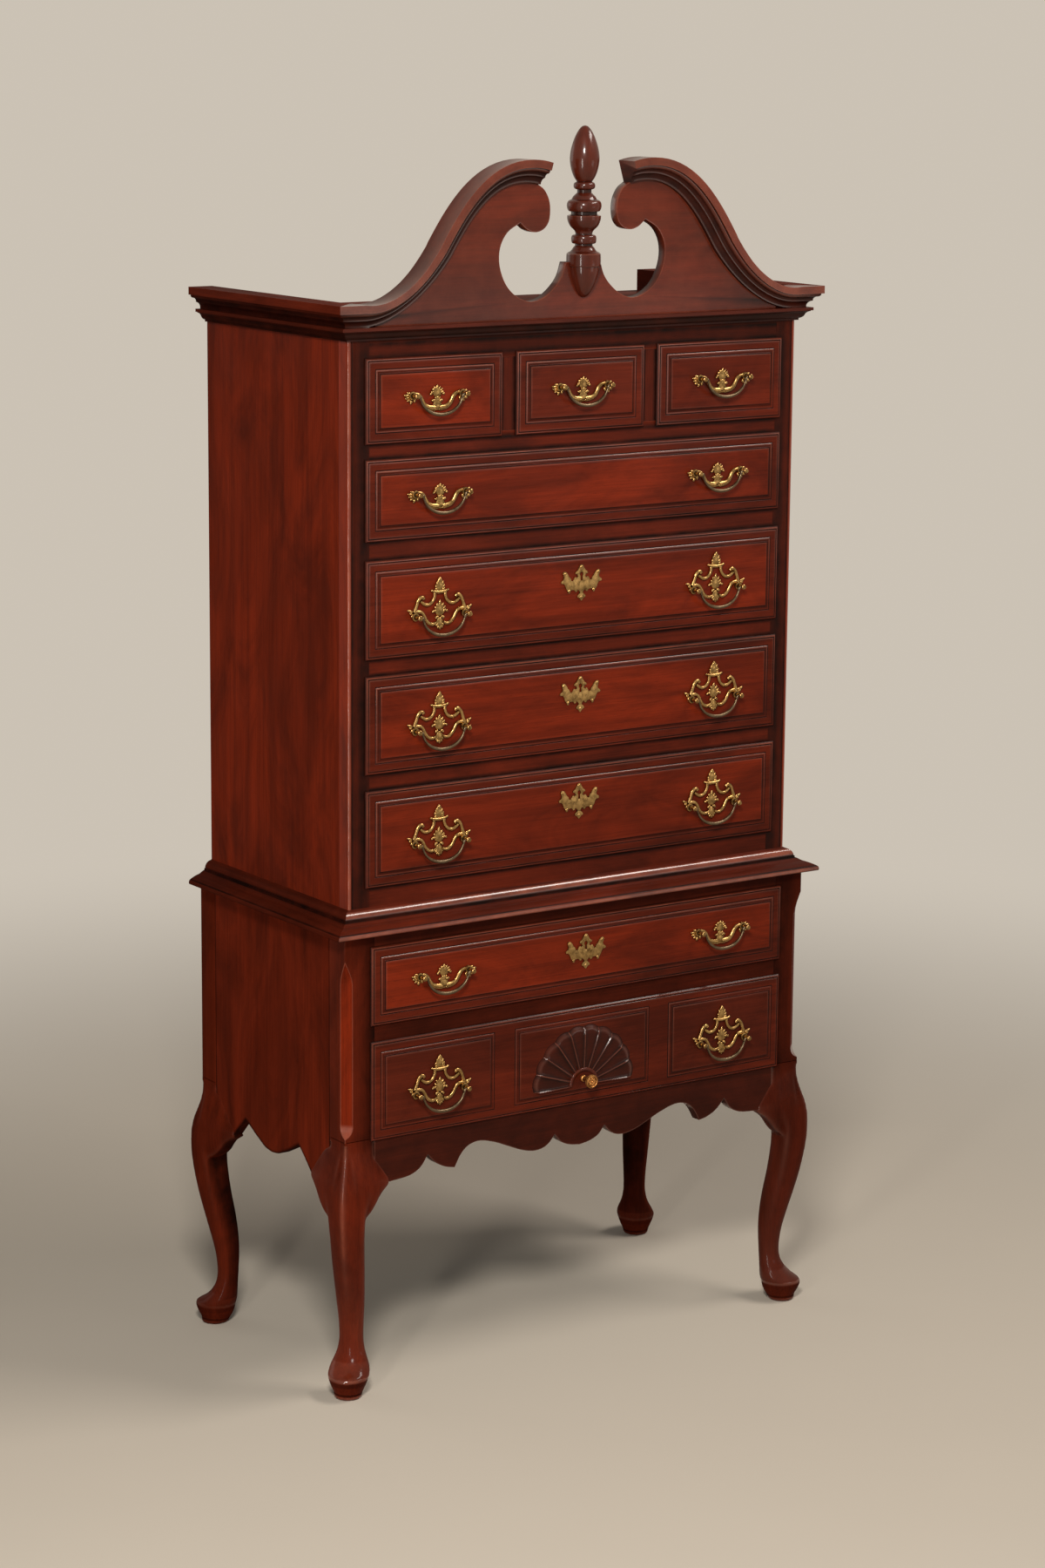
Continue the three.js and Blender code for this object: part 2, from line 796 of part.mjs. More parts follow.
function pedimentBoard() {
  const half = [
    ...smooth(openingShares.map(scrollPoint), 20),
    ...smooth(voluteShares.map(scrollPoint), 12).slice(1),
    ...crownStations().slice(1).map(({ point }) => point),
  ];
  const mirrored = half.map((point) => new THREE.Vector2(-point.x, point.y)).reverse();
  return frontSlab([...mirrored, ...half], -pedimentProud, pedimentThickness - pedimentProud);
}

function finialPiece() {
  const points = finialShares.map(([out, up]) => {
    return new THREE.Vector2(out * finialRadius, finialBottom + up * finialHeight);
  });
  const turned = new THREE.LatheGeometry(points, finialFacets);
  turned.rotateX(Math.PI / 2);
  turned.translate(0, -finialProud, 0);
  const low = finialBottom - overrun;
  const notch = box(-plinthHalf, plinthHalf, -pedimentProud, upperDepth, low, plinthTop);
  return cut(turned, [notch]);
}

function addPediment() {
  const ledge = sectionPoints(ledgeShares, ledgeReach, ledgeHeight);
  addWood('cornice_ledge', wrapMoulding(ledge, topBoardTop - ledgeHeight));
  addWood('pediment_board', pedimentBoard());
  addWood('crown_left', crownPiece(-1));
  addWood('crown_right', crownPiece(1));
  addWood('finial', finialPiece());
}

// Drawers: each has a front, a box behind it and hanging bails on two posts each
const sidePull = (sideLipStart + upperLipHalf) / 2;
const drawers = [
  { name: 'drawer_1_left', row: topRow, x0: -upperLipHalf, x1: -sideLipStart, pulls: [-sidePull] },
  { name: 'drawer_1_middle', row: topRow, x0: -middleLipHalf, x1: middleLipHalf, pulls: [0] },
  { name: 'drawer_1_right', row: topRow, x0: sideLipStart, x1: upperLipHalf, pulls: [sidePull] },
  ...upperRows.slice(0, -1).reverse().map((row, index) => wideDrawer(index + 2, row, upperLipHalf)),
  ...lowerRows.slice().reverse().map((row, index) => {
    return wideDrawer(upperRows.length + index + 1, row, lowerLipHalf);
  }),
];

function wideDrawer(number, row, lipHalf) {
  const pull = row === lowerRows[0] ? bottomPull(lipHalf) : lipHalf - pullInset;
  return { name: `drawer_${number}`, row, x0: -lipHalf, x1: lipHalf, pulls: [-pull, pull] };
}

// Middle of the outer fields of the bottom drawer
function bottomPull(lipHalf) {
  return (lipHalf - rimWidth + middleFieldHalf + fieldSlope + fieldStile) / 2;
}

function isSmallPull(drawer) {
  return [...upperRows.slice(-2), lowerRows[1]].includes(drawer.row);
}

function frontPlane(drawer) {
  return lowerRows.includes(drawer.row) ? lowerFront : 0;
}

function pullHeight(drawer) {
  const middle = (drawer.row.top + drawer.row.bottom) / 2;
  return middle + (isSmallPull(drawer) ? smallPullRise : -largePullDrop);
}

// Raised fields, as the edges of their slopes on the rim
function fieldSpans(drawer) {
  const left = drawer.x0 + rimWidth;
  const right = drawer.x1 - rimWidth;
  if (drawer.row !== lowerRows[0]) {
    return [[left, right]];
  }
  const edge = middleFieldHalf + fieldSlope;
  return [[left, -edge - fieldStile], [-edge, edge], [edge + fieldStile, right]];
}

function drawerFront(drawer) {
  const { row, x0, x1 } = drawer;
  const plane = frontPlane(drawer);
  const face = plane - lipProud;
  const rim = face + fieldRise;
  const inside = lipLap + drawerGap;
  const slab = steppedPanel(x0, x1, row.bottom, row.top, [
    { inset: inside, y: plane + frontInside },
    { inset: inside, y: plane - lipGap },
    { inset: 0, y: plane - lipGap },
    { inset: 0, y: plane - lipEdge },
    { inset: lipBevel, y: rim },
  ]);
  const fields = fieldSpans(drawer).map(([left, right]) => {
    const low = row.bottom + rimWidth;
    const high = row.top - rimWidth;
    return steppedPanel(left, right, low, high, [
      { inset: 0, y: rim + overrun },
      { inset: 0, y: rim - fieldStep },
      { inset: fieldSlope, y: face },
    ]);
  });
  const posts = postPlaces(drawer).map(({ x, z }) => boredPost(x, z, face));
  const bores = postPlaces(drawer).map(({ x, z, inward }) => postBore(x, z, face, inward));
  return cut(join([slab, ...fields, ...posts]), bores);
}

function postPlaces(drawer) {
  return drawer.pulls.flatMap((pull) => [-1, 1].map((side) => (
    { x: pull + (side * postPitch) / 2, z: pullHeight(drawer), inward: -side }
  )));
}

function boredPost(x, z, face) {
  const length = pivotProud + postEnd + overrun;
  const post = new THREE.CylinderGeometry(postRadius, postRadius, length, postFacets);
  post.translate(x, face + overrun - length / 2, z);
  return post;
}

// The hole that a bail's pin turns in
function postBore(x, z, face, inward) {
  const start = x + inward * (postRadius + overrun);
  const end = x + inward * (postRadius - boreDepth);
  const bore = new THREE.CylinderGeometry(boreRadius, boreRadius, Math.abs(start - end), boreFacets);
  bore.rotateZ(Math.PI / 2);
  bore.translate((start + end) / 2, face - pivotProud, z);
  return bore;
}

// An open tray behind the front
function drawerBox(drawer) {
  const { row, x0, x1 } = drawer;
  const inside = lipLap + drawerGap;
  const front = frontPlane(drawer) + frontInside;
  const rear = backFront - boxRearGap;
  const low = row.bottom + inside;
  const high = row.top - inside - boxTopDrop;
  const tray = box(x0 + inside, x1 - inside, front, rear, low, high);
  const wall = inside + boxWall;
  const floorTop = low + boxFloorRaise + boxFloor;
  const hollow = (z0, z1) => box(x0 + wall, x1 - wall, front + boxWall, rear - boxWall, z0, z1);
  const inner = hollow(floorTop, high + overrun);
  const under = hollow(low - overrun, low + boxFloorRaise);
  return cut(tray, [inner, under]);
}

// A hanging bail: pin, round arm, low middle, and back up to the other pin
function bailPiece(pull, z, face) {
  const inner = postPitch / 2 - postRadius;
  const stations = [
    { x: inner + pinReach, z: 0, radius: pinRadius },
    { x: (inner + bailHalfWidth) / 2 + pinRadius, z: 0, radius: pinRadius },
  ];
  const startTurn = Math.asin(pinRadius / bailDrop) * 2;
  for (let step = 0; step <= bailSteps / 2; step += 1) {
    const turn = startTurn + ((Math.PI / 2 - startTurn) * 2 * step) / bailSteps;
    const swell = Math.sin(turn);
    stations.push({
      x: bailHalfWidth * Math.cos(turn),
      z: -bailDrop * Math.sin(turn),
      radius: pinRadius + (bailMiddleRadius - pinRadius) * swell,
    });
  }
  const other = stations.slice(0, -1).map((station) => ({ ...station, x: -station.x })).reverse();
  const path = [...stations, ...other];
  const outline = Array.from({ length: bailFacets }, (_, point) => {
    const turn = (point / bailFacets) * Math.PI * 2;
    return new THREE.Vector2(Math.cos(turn), Math.sin(turn));
  });
  const rings = path.map((station, index) => {
    const before = path[Math.max(index - 1, 0)];
    const after = path[Math.min(index + 1, path.length - 1)];
    const along = new THREE.Vector2(after.x - before.x, after.z - before.z).normalize();
    return outline.map((point) => new THREE.Vector3(
      pull + station.x - along.y * point.x * station.radius,
      face - pivotProud + point.y * station.radius,
      z + station.z + along.x * point.x * station.radius,
    ));
  });
  return loft(rings, outline);
}

function knobPiece(face, z) {
  const profile = knobShares.map(([out, along]) => {
    return new THREE.Vector2(out * knobRadius, -along * knobReach);
  });
  const knob = new THREE.LatheGeometry(profile.reverse(), knobFacets);
  knob.translate(0, face, z);
  return knob;
}

function addDrawers() {
  drawers.forEach((drawer) => {
    const face = frontPlane(drawer) - lipProud;
    addPiece(`${drawer.name}_front`, drawerFront(drawer), colours.field, 0.35);
    addInnerWood(`${drawer.name}_box`, drawerBox(drawer));
    drawer.pulls.forEach((pull) => {
      const end = drawer.pulls.length === 1 ? '' : `_${pull < 0 ? 'left' : 'right'}`;
      const name = `${drawer.name.replace('drawer', 'bail')}${end}`;
      addBrass(name, bailPiece(pull, pullHeight(drawer), face));
    });
  });
  addBrass('knob', knobPiece(lowerFront - lipProud, lowerRows[0].bottom + knobRise));
}

addUpperCase();
addPediment();
addLowerCase();
addLegs();
addDrawers();

// Feet stand on z = 0 with the middle of the whole depth on y = 0
const bounds = new THREE.Box3().setFromObject(highboy);
highboy.position.y = -(bounds.min.y + bounds.max.y) / 2;

export default highboy;
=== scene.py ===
"""Highboy with a broken pediment: the finished pieces over its CAD frame, laid out as an add-on."""
from math import atan, cos, pi, radians, sin, sqrt

import bmesh
import bpy
from bpy.props import FloatProperty, FloatVectorProperty, IntProperty, PointerProperty
from mathutils import Matrix, Vector


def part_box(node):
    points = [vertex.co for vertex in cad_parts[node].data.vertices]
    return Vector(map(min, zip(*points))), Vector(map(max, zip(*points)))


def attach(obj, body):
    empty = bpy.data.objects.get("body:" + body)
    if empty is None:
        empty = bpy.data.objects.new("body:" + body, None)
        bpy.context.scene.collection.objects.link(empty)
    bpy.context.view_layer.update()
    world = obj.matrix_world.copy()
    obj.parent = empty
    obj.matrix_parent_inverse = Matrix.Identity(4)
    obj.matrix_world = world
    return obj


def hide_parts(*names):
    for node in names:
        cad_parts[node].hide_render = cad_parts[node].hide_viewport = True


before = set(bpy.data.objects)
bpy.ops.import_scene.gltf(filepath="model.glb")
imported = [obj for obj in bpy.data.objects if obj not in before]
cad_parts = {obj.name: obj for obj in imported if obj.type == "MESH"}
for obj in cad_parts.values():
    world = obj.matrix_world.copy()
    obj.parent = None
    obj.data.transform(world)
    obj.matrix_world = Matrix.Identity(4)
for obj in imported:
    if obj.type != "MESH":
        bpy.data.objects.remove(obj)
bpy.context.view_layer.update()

bl_info = {
    "name": "Highboy",
    "version": (1, 0, 0),
    "blender": (4, 5, 0),
    "location": "3D View > Sidebar > Highboy",
    "description": "Finishes a highboy over its CAD frame: carcase, mouldings, legs, drawers and brass",
    "category": "Object",
}

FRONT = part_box("upper_face_frame")[0][1]
# Shapes are made in millimetres with the upper front at y = 0, then set in place
PLACE = Matrix.Translation((0, FRONT, 0)) @ Matrix.Scale(0.001, 4)
X, Y, Z = Vector((1, 0, 0)), Vector((0, 1, 0)), Vector((0, 0, 1))
# Step in the wood's figure from one plank to the next
PLANK = Vector((0.37, 1.31, 0.73))


def paint(red, green, blue):
    """A colour as a paint chart names it, 0 to 255, made linear."""
    parts = [value / 255 for value in (red, green, blue)]
    return tuple(p / 12.92 if p <= 0.04045 else ((p + 0.055) / 1.055) ** 2.4 for p in parts)


def colour(name, words, default):
    return FloatVectorProperty(name=name, description=words, subtype="COLOR", size=3, min=0, max=1,
                               default=default)


def length(name, words, default):
    """A size kept in metres, given in millimetres."""
    return FloatProperty(name=name, description=words, unit="LENGTH", subtype="DISTANCE",
                         default=default / 1000)


def mm(value):
    return value * 1000


# Sizes and colours

class HighboyWood(bpy.types.PropertyGroup):
    """Colours of the stained cherry and of the plain wood inside."""
    deep: colour("Deep stain", "Darkest part of the cherry's figure", paint(34, 10, 5))
    warm: colour("Warm stain", "Brightest part of the cherry's figure", paint(126, 38, 13))
    brown: colour("Brown stain", "Cherry of rims, rails and mouldings", paint(74, 27, 15))
    # Glaze colour: real glaze in the hollows, also used as painted shade in creases, in the gaps round the
    # drawers and on parts in shadow
    glaze: colour("Glaze", "Dark glaze left in the hollows", paint(14, 6, 4))
    # Rubbed edge colour: real rubbing on edges, also used for painted highlight lines and glints on lit edges
    # and bevels
    wear: colour("Rubbed edge", "Cherry where its edges are rubbed through", paint(156, 80, 54))
    plain: colour("Inner wood", "Drawer boxes, dust boards and backs", paint(190, 150, 104))
    plain_dark: colour("Inner wood streaks", "Darker streaks of the inner wood", paint(140, 98, 60))
    edge: length("Edge round", "Softening of the board edges", 1.0)


class HighboyBrass(bpy.types.PropertyGroup):
    """Colours and thickness of the cast brass."""
    bright: colour("Bright brass", "Rubbed high places of the casting", paint(180, 144, 90))
    aged: colour("Aged brass", "Toned brass", paint(94, 68, 36))
    dark: colour("Tarnish", "Dark deposit in the hollows", paint(44, 26, 12))
    thick: length("Strap thickness", "How far the cast straps stand off the drawer", 5.4)


class HighboyFront(bpy.types.PropertyGroup):
    """Sizes of the drawer fronts."""
    lip_edge: length("Lip edge", "Square edge of the lip", 2.5)
    thumb: length("Lip moulding", "Width of the rounded moulding along the lip", 4.6)
    rim: length("Rim", "From the lip's edge to the field's moulding", 17)
    slope: length("Field moulding", "Width of the hollow moulding round each field", 10)
    rim_proud: length("Rim stand", "How far the rim stands ahead of the case", 5.5)
    field_proud: length("Field stand", "How far the field stands ahead of the case", 8)


class HighboyStage(bpy.types.PropertyGroup):
    """Light, floor and camera."""
    key: FloatProperty(name="Key lamp", description="Power of the large lamp at the front left", default=150,
                       unit="POWER")
    top: FloatProperty(name="Top lamp", description="Power of the lamp above at the right", default=90,
                       unit="POWER")
    fill: FloatProperty(name="Fill lamp", description="Power of the low lamp at the right", default=5,
                        unit="POWER")
    window: FloatProperty(name="Window", description="Power of the tall narrow lamp at the left", default=42,
                          unit="POWER")
    back: FloatProperty(name="Back lamp", description="Power of the lamp behind", default=16, unit="POWER")
    sky: FloatProperty(name="Room light", description="Strength of the even light from all sides",
                       default=0.15)
    floor: colour("Floor", "Plain pale floor", (0.56, 0.5, 0.42))
    backdrop: colour("Backdrop", "Pale room behind the object", (0.6, 0.54, 0.46))
    lens: FloatProperty(name="Lens", description="Focal length of the camera", default=87.479,
                        subtype="DISTANCE_CAMERA")


# Shaping helpers

def new_shape():
    """An empty mesh that carries the grain's direction and the finish of each place."""
    bm = bmesh.new()
    bm.verts.layers.float_vector.new("grain")
    for name in ("tone", "glaze", "wear"):
        bm.verts.layers.float.new(name)
    return bm


def finish_layers(bm):
    """Layers for how warm the stain is, how much glaze is held, also as painted shade, and how much is rubbed
    away, also as painted highlight.
    """
    return [bm.verts.layers.float[name] for name in ("tone", "glaze", "wear")]


def add_shape(bm, part):
    """Puts one finished part into a larger shape."""
    scratch = bpy.data.meshes.new("scratch")
    part.to_mesh(scratch)
    part.free()
    bm.from_mesh(scratch)
    bpy.data.meshes.remove(scratch)


def lay_grain(bm, axis, shift=0.0, tone=0.5, keep=False):
    """Runs the grain along one axis; the shift picks another plank for each part."""
    layer, tones = bm.verts.layers.float_vector["grain"], finish_layers(bm)[0]
    order = {"x": (0, 1, 2), "y": (1, 0, 2), "z": (2, 0, 1)}[axis]
    away = PLANK * shift
    for vert in bm.verts:
        vert[layer] = Vector([vert.co[i] / 1000 for i in order]) + away
        vert[tones] = max(tone, vert[tones]) if keep else tone


def mark_relief(bm, rubbing_and_highlight=1.0):
    """Finds the hollows, where glaze stays and painted shade is laid, and the edges, where the wood is rubbed
    and painted highlights fall.
    """
    _, hollow, worn_and_highlit = finish_layers(bm)
    longest = {face: max(edge.calc_length() for edge in face.edges) for face in bm.faces}
    wide = {face for face, length in longest.items() if face.calc_area() > 6 * length}
    for vert in bm.verts:
        if wide.intersection(vert.link_faces):
            continue
        low = high = 0.0
        for edge in vert.link_edges:
            turn = edge.calc_face_angle_signed(0.0)
            low, high = min(low, turn), max(high, turn)
        vert[hollow] = max(vert[hollow], min(1.0, -low * 1.6))
        vert[worn_and_highlit] = max(vert[worn_and_highlit], min(1.0, high * 2.2 * rubbing_and_highlight))


def mark(bm, where, **finish):
    """Sets the tone, the glaze with its painted shade, or the wear with its painted highlight, of the places
    that pass a test.
    """
    for vert in bm.verts:
        if where(vert.co):
            for name, amount in finish.items():
                vert[bm.verts.layers.float[name]] = amount


def everywhere(place):
    """The test that every place passes."""
    return True


def hold(bm, finish, least):
    """Leaves at least this much glaze with its painted shade, or rubbing with its painted highlight, over a
    whole shape.
    """
    layer = bm.verts.layers.float[finish]
    for vert in bm.verts:
        vert[layer] = max(vert[layer], least)


def finish_piece(name, bm, body, material, nodes=(), sharp=35, relief=1):
    """Sets a shape in place as one finished piece that rides on a body of the frame."""
    bmesh.ops.remove_doubles(bm, verts=bm.verts, dist=0.002)
    bmesh.ops.recalc_face_normals(bm, faces=bm.faces)
    if relief:
        mark_relief(bm, relief)
    bm.transform(PLACE)
    mesh = bpy.data.meshes.new(name)
    bm.to_mesh(mesh)
    bm.free()
    mesh.polygons.foreach_set("use_smooth", [True] * len(mesh.polygons))
    mesh.set_sharp_from_angle(angle=radians(sharp))
    obj = bpy.data.objects.new(name, mesh)
    bpy.context.scene.collection.objects.link(obj)
    mesh.materials.append(bpy.data.materials[material])
    if nodes:
        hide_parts(*nodes)
    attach(obj, body)
    return obj


def section(start, *moves, steps=6, support=1.5):
    """Points along a moulding's section: straight moves (x, y) and bowed ones (x, y, bulge)."""
    points = [Vector(start)]
    for move in moves:
        a, b = points[-1].copy(), Vector(move[:2])
        if len(move) == 2:
            run = (b - a).length
            if run > 3 * support:
                points += [a.lerp(b, support / run), a.lerp(b, 1 - support / run)]
            points.append(b)
            continue
        half = 2 * atan(move[2])
        along = (b - a).normalized()
        left = Vector((-along.y, along.x))
        radius = (b - a).length / 2 / sin(half)
        centre = (a + b) / 2 - left * radius * cos(half)
        for step in range(1, steps + 1):
            turn = half * (2 * step / steps - 1)
            points.append(centre + (along * sin(turn) + left * cos(turn)) * radius)
    return points


def smooth_run(points, steps):
    """A smooth run through points, each given by two or three numbers."""
    points = [Vector(point) for point in points]
    ends = [2 * points[0] - points[1], *points, 2 * points[-1] - points[-2]]
    run = []
    for index in range(len(points) - 1):
        a, b, c, d = ends[index:index + 4]
        for step in range(steps):
            t = step / steps
            run.append(0.5 * (2 * b + (c - a) * t + (2 * a - 5 * b + 4 * c - d) * t * t
                              + (3 * b - a - 3 * c + d) * t ** 3))
    return [*run, points[-1]]


def wire_ring(bm, points):
    """A closed ring of edges through the points."""
    verts = bmesh.ops.create_circle(bm, cap_ends=False, radius=1, segments=len(points))["verts"]
    for vert, point in zip(verts, points):
        vert.co = point
    return verts


def ring_edges(verts):
    inside = set(verts)
    return list({edge for vert in verts for edge in vert.link_edges if edge.other_vert(vert) in inside})


def loft(bm, rings, shift=0.0, tone=0.5, cap=True, glaze=()):
    """A closed skin drawn out through rings of equal count, with the grain along its run."""
    grain = bm.verts.layers.float_vector["grain"]
    tones, hollow, _ = finish_layers(bm)
    away = PLANK * shift
    count = len(rings[0])
    around = [0.0]
    for index in range(1, count):
        around.append(around[-1] + (rings[0][index] - rings[0][index - 1]).length / 1000)
    row = wire_ring(bm, rings[0])
    run, middle = 0.0, sum(rings[0], Vector((0, 0, 0))) / count
    rows = [row]
    for place in range(len(rings)):
        if place:
            edges = ring_edges(row)
            grown = bmesh.ops.extrude_edge_only(bm, edges=edges)["geom"]
            old = set(row)
            partner = {}
            for vert in (item for item in grown if isinstance(item, bmesh.types.BMVert)):
                for edge in vert.link_edges:
                    if edge.other_vert(vert) in old:
                        partner[edge.other_vert(vert)] = vert
            row = [partner[vert] for vert in row]
            for vert, point in zip(row, rings[place]):
                vert.co = point
            now = sum(rings[place], Vector((0, 0, 0))) / count
            run += (now - middle).length / 1000
            middle = now
            rows.append(row)
        for vert, held in zip(row, glaze):
            vert[hollow] = held
        for vert, across in zip(row, around):
            vert[grain] = Vector((run, across, 0)) + away
            vert[tones] = tone
    if cap:
        for end in (rows[0], rows[-1]):
            bmesh.ops.contextual_create(bm, geom=ring_edges(end))
    return rows


def block(x0, x1, y0, y1, z0, z1):
    """A squared block, as a shape of its own."""
    part = new_shape()
    bmesh.ops.create_cube(part, size=1)
    for vert in part.verts:
        x, y, z = (value > 0 for value in vert.co)
        vert.co = Vector((x1 if x else x0, y1 if y else y0, z1 if z else z0))
    return part


def board(bm, x0, x1, y0, y1, z0, z1, axis="x", shift=0.0, tone=0.5, edge=0.8, shaded=()):
    """A squared board with softened edges; shaded gives (inset, glaze) steps of painted shadow on its front.
    """
    part = block(x0, x1, y0, y1, z0, z1)
    soften(part, part.edges[:], edge)
    hollow = finish_layers(part)[1]
    front = min(part.faces, key=lambda face: face.calc_center_median().y)
    for width, glaze in shaded:
        step_in(part, front, width, 0)
        for vert in front.verts:
            vert[hollow] = glaze
    lay_grain(part, axis, shift, tone)
    add_shape(bm, part)


def soften(bm, edges, width, segments=2):
    bmesh.ops.bevel(bm, geom=edges, offset=width, offset_type="OFFSET", affect="EDGES", segments=segments,
                    profile=0.5, material=-1, clamp_overlap=True)


def slab(bm, outline, low, high, place, axis="x", shift=0.0, tone=0.5, edge=0.9, line=0.0, holes=(),
         support=1.5):
    """An outline carried between two depths, with soft edges; place turns (a, b, depth) into a point."""
    part = new_shape()
    for ring in (outline, *holes):
        wire_ring(part, [place(point[0], point[1], low) for point in ring])
    bmesh.ops.triangle_fill(part, use_beauty=True, use_dissolve=False, edges=part.edges[:])
    faces = part.faces[:]
    grown = bmesh.ops.extrude_face_region(part, geom=faces, use_keep_orig=True)["geom"]
    top = [item for item in grown if isinstance(item, bmesh.types.BMVert)]
    push = place(0, 0, high) - place(0, 0, low)
    bmesh.ops.translate(part, verts=top, vec=push)
    bmesh.ops.recalc_face_normals(part, faces=part.faces)
    if edge:
        rims = [e for e in part.edges if len(e.link_faces) == 2 and abs(e.calc_face_angle(0)) > 1.2
                and abs((e.verts[0].co - e.verts[1].co).dot(push.normalized())) < 0.001]
        soften(part, rims, edge)
    inner = set()
    for way in (push.normalized(), -push.normalized()) if support else ():
        flat = [face for face in part.faces if face.normal.dot(way) > 0.99]
        bmesh.ops.inset_region(part, faces=flat, thickness=support, depth=0, use_even_offset=False,
                               use_boundary=True)
        inner.update(vert for face in flat for vert in face.verts)
    for vert in set(part.verts) - inner:
        vert[part.verts.layers.float["glaze"]] = line
    lay_grain(part, axis, shift, tone)
    add_shape(bm, part)


def front_place(a, b, depth):
    return Vector((a, depth, b))


def side_place(a, b, depth):
    return Vector((depth, a, b))


def turned(bm, profile, centre, axis, steps=32, shift=0.0, tone=0.5):
    """A turned part: its profile of (radius, height) spun round an axis through the centre."""
    part = new_shape()
    axis = Vector(axis)
    out = X if abs(axis.x) < 0.5 else Z
    places = [Vector(centre) + out * max(radius, 0) + axis * height for radius, height in profile]
    verts = [part.verts.new(place) for place in places]
    edges = [part.edges.new(pair) for pair in zip(verts, verts[1:])]
    bmesh.ops.spin(part, geom=[*verts, *edges], cent=centre, axis=axis, dvec=(0, 0, 0), angle=2 * pi,
                   steps=steps, use_merge=True, use_normal_flip=False, use_duplicate=False)
    bmesh.ops.remove_doubles(part, verts=part.verts, dist=0.01)
    lay_grain(part, "xyz"[max(range(3), key=lambda i: abs(axis[i]))], shift, tone)
    add_shape(bm, part)


def strap(bm, points, widths, flat, depth, steps=5, sides=10):
    """A cast strap that follows a run in the front plane; widths are half widths at its points."""
    path = smooth_run([(x, z, width) for (x, z), width in zip(points, widths)], steps)
    turns = [2 * pi * k / sides for k in range(sides)]
    rings = []
    for index, place in enumerate(path):
        ahead = path[min(index + 1, len(path) - 1)] - path[max(index - 1, 0)]
        along = Vector((ahead.x, 0, ahead.y)).normalized()
        across = along.cross(Y)
        centre = Vector((place.x, depth, place.y))
        width = place.z
        deep = Y * flat * min(1, width / flat * 1.3)
        rings.append([centre + across * width * cos(turn) + deep * sin(turn) for turn in turns])
    loft(bm, rings)


def mirrored(points):
    """A run and its mirror image, or the run alone where it starts left of the middle."""
    return (points, [(-x, z) for x, z in points]) if points[0][0] >= 0 else (points,)


def lobe(bm, root, tip, width, flat, depth):
    """A cast leaf lobe between two places in the front plane."""
    part = new_shape()
    bmesh.ops.create_uvsphere(part, u_segments=10, v_segments=6, radius=1)
    root, tip = Vector((root[0], 0, root[1])), Vector((tip[0], 0, tip[1]))
    along = tip - root
    frame_of = Matrix((along.normalized().cross(Y), Y, along.normalized())).transposed()
    for vert in part.verts:
        swell = 1 - 0.35 * vert.co.z
        local = Vector((vert.co.x * width * swell, vert.co.y * flat, vert.co.z * along.length / 2))
        vert.co = frame_of @ local + (root + tip) / 2 + Y * depth
    add_shape(bm, part)


# Finishes

def socket(group, name, kind, inward, default=None):
    made = group.interface.new_socket(name=name, in_out="INPUT" if inward else "OUTPUT", socket_type=kind)
    if default is not None:
        made.default_value = default
    return made


class Nodes:
    """Short calls for building a node tree."""

    def __init__(self, tree):
        self.tree = tree

    def add(self, kind, inputs=(), **settings):
        node = self.tree.nodes.new(kind)
        for key, value in settings.items():
            setattr(node, key, value)
        return self.feed(node, dict(inputs))

    def feed(self, node, inputs):
        """Links a node's inputs, or sets their values."""
        for key, value in inputs.items():
            if isinstance(value, bpy.types.NodeSocket):
                self.tree.links.new(value, node.inputs[key])
            else:
                node.inputs[key].default_value = value
        return node

    def held(self, name, output="Fac"):
        """A value that the mesh holds at each place."""
        return self.add("ShaderNodeAttribute", attribute_name=name).outputs[output]

    def place(self):
        return self.add("ShaderNodeTexCoord").outputs["Object"]

    def board_grain(self, axis):
        """Grain along one axis, for a piece of the frame, which holds none of its own."""
        turn = {"x": (0, 0, 0), "y": (0, 0, pi / 2), "z": (0, pi / 2, 0)}[axis]
        return self.add("ShaderNodeMapping", {"Vector": self.place(), "Rotation": turn}).outputs[0]

    def bump(self, height, strength, distance):
        return self.add("ShaderNodeBump", {"Height": height, "Strength": strength,
                                           "Distance": distance}).outputs[0]

    def group(self, group, inputs):
        return self.add("ShaderNodeGroup", inputs, node_tree=group).outputs

    def stretch(self, vector, scale):
        return self.add("ShaderNodeVectorMath", {0: vector, 1: scale}, operation="MULTIPLY").outputs[0]

    def noise(self, vector, scale=1.0, detail=3.0, rough=0.55, bend=0.0):
        return self.add("ShaderNodeTexNoise", {"Vector": vector, "Scale": scale, "Detail": detail,
                                               "Roughness": rough, "Distortion": bend}).outputs["Fac"]

    def range(self, value, low, high, to_low=0.0, to_high=1.0):
        return self.add("ShaderNodeMapRange", {0: value, 1: low, 2: high, 3: to_low, 4: to_high}).outputs[0]

    def math(self, operation, a, b=0.0, c=0.0, clamp=False):
        return self.add("ShaderNodeMath", {0: a, 1: b, 2: c}, operation=operation, use_clamp=clamp).outputs[0]

    def mix(self, factor, a, b, blend="MIX"):
        return self.add("ShaderNodeMix", {0: factor, 6: a, 7: b}, data_type="RGBA",
                        blend_type=blend).outputs[2]

    def seen(self):
        """One for what the camera, mirrors and glass show, nothing for the light that falls on things."""
        path = self.add("ShaderNodeLightPath").outputs
        return self.math("MAXIMUM", self.math("MAXIMUM", path["Is Camera Ray"], path["Is Glossy Ray"]),
                         path["Is Transmission Ray"])


COLOUR, VECTOR, NUMBER = "NodeSocketColor", "NodeSocketVector", "NodeSocketFloat"


def group_tree(name, ins, outs):
    """A new shader group: the group, its nodes, and the sockets that go in and out."""
    group = bpy.data.node_groups.new(name, "ShaderNodeTree")
    for title, kind, default in ins:
        socket(group, title, kind, True, default)
    for title, kind in outs:
        socket(group, title, kind, False)
    nodes = Nodes(group)
    return group, nodes, nodes.add("NodeGroupInput").outputs, nodes.add("NodeGroupOutput")


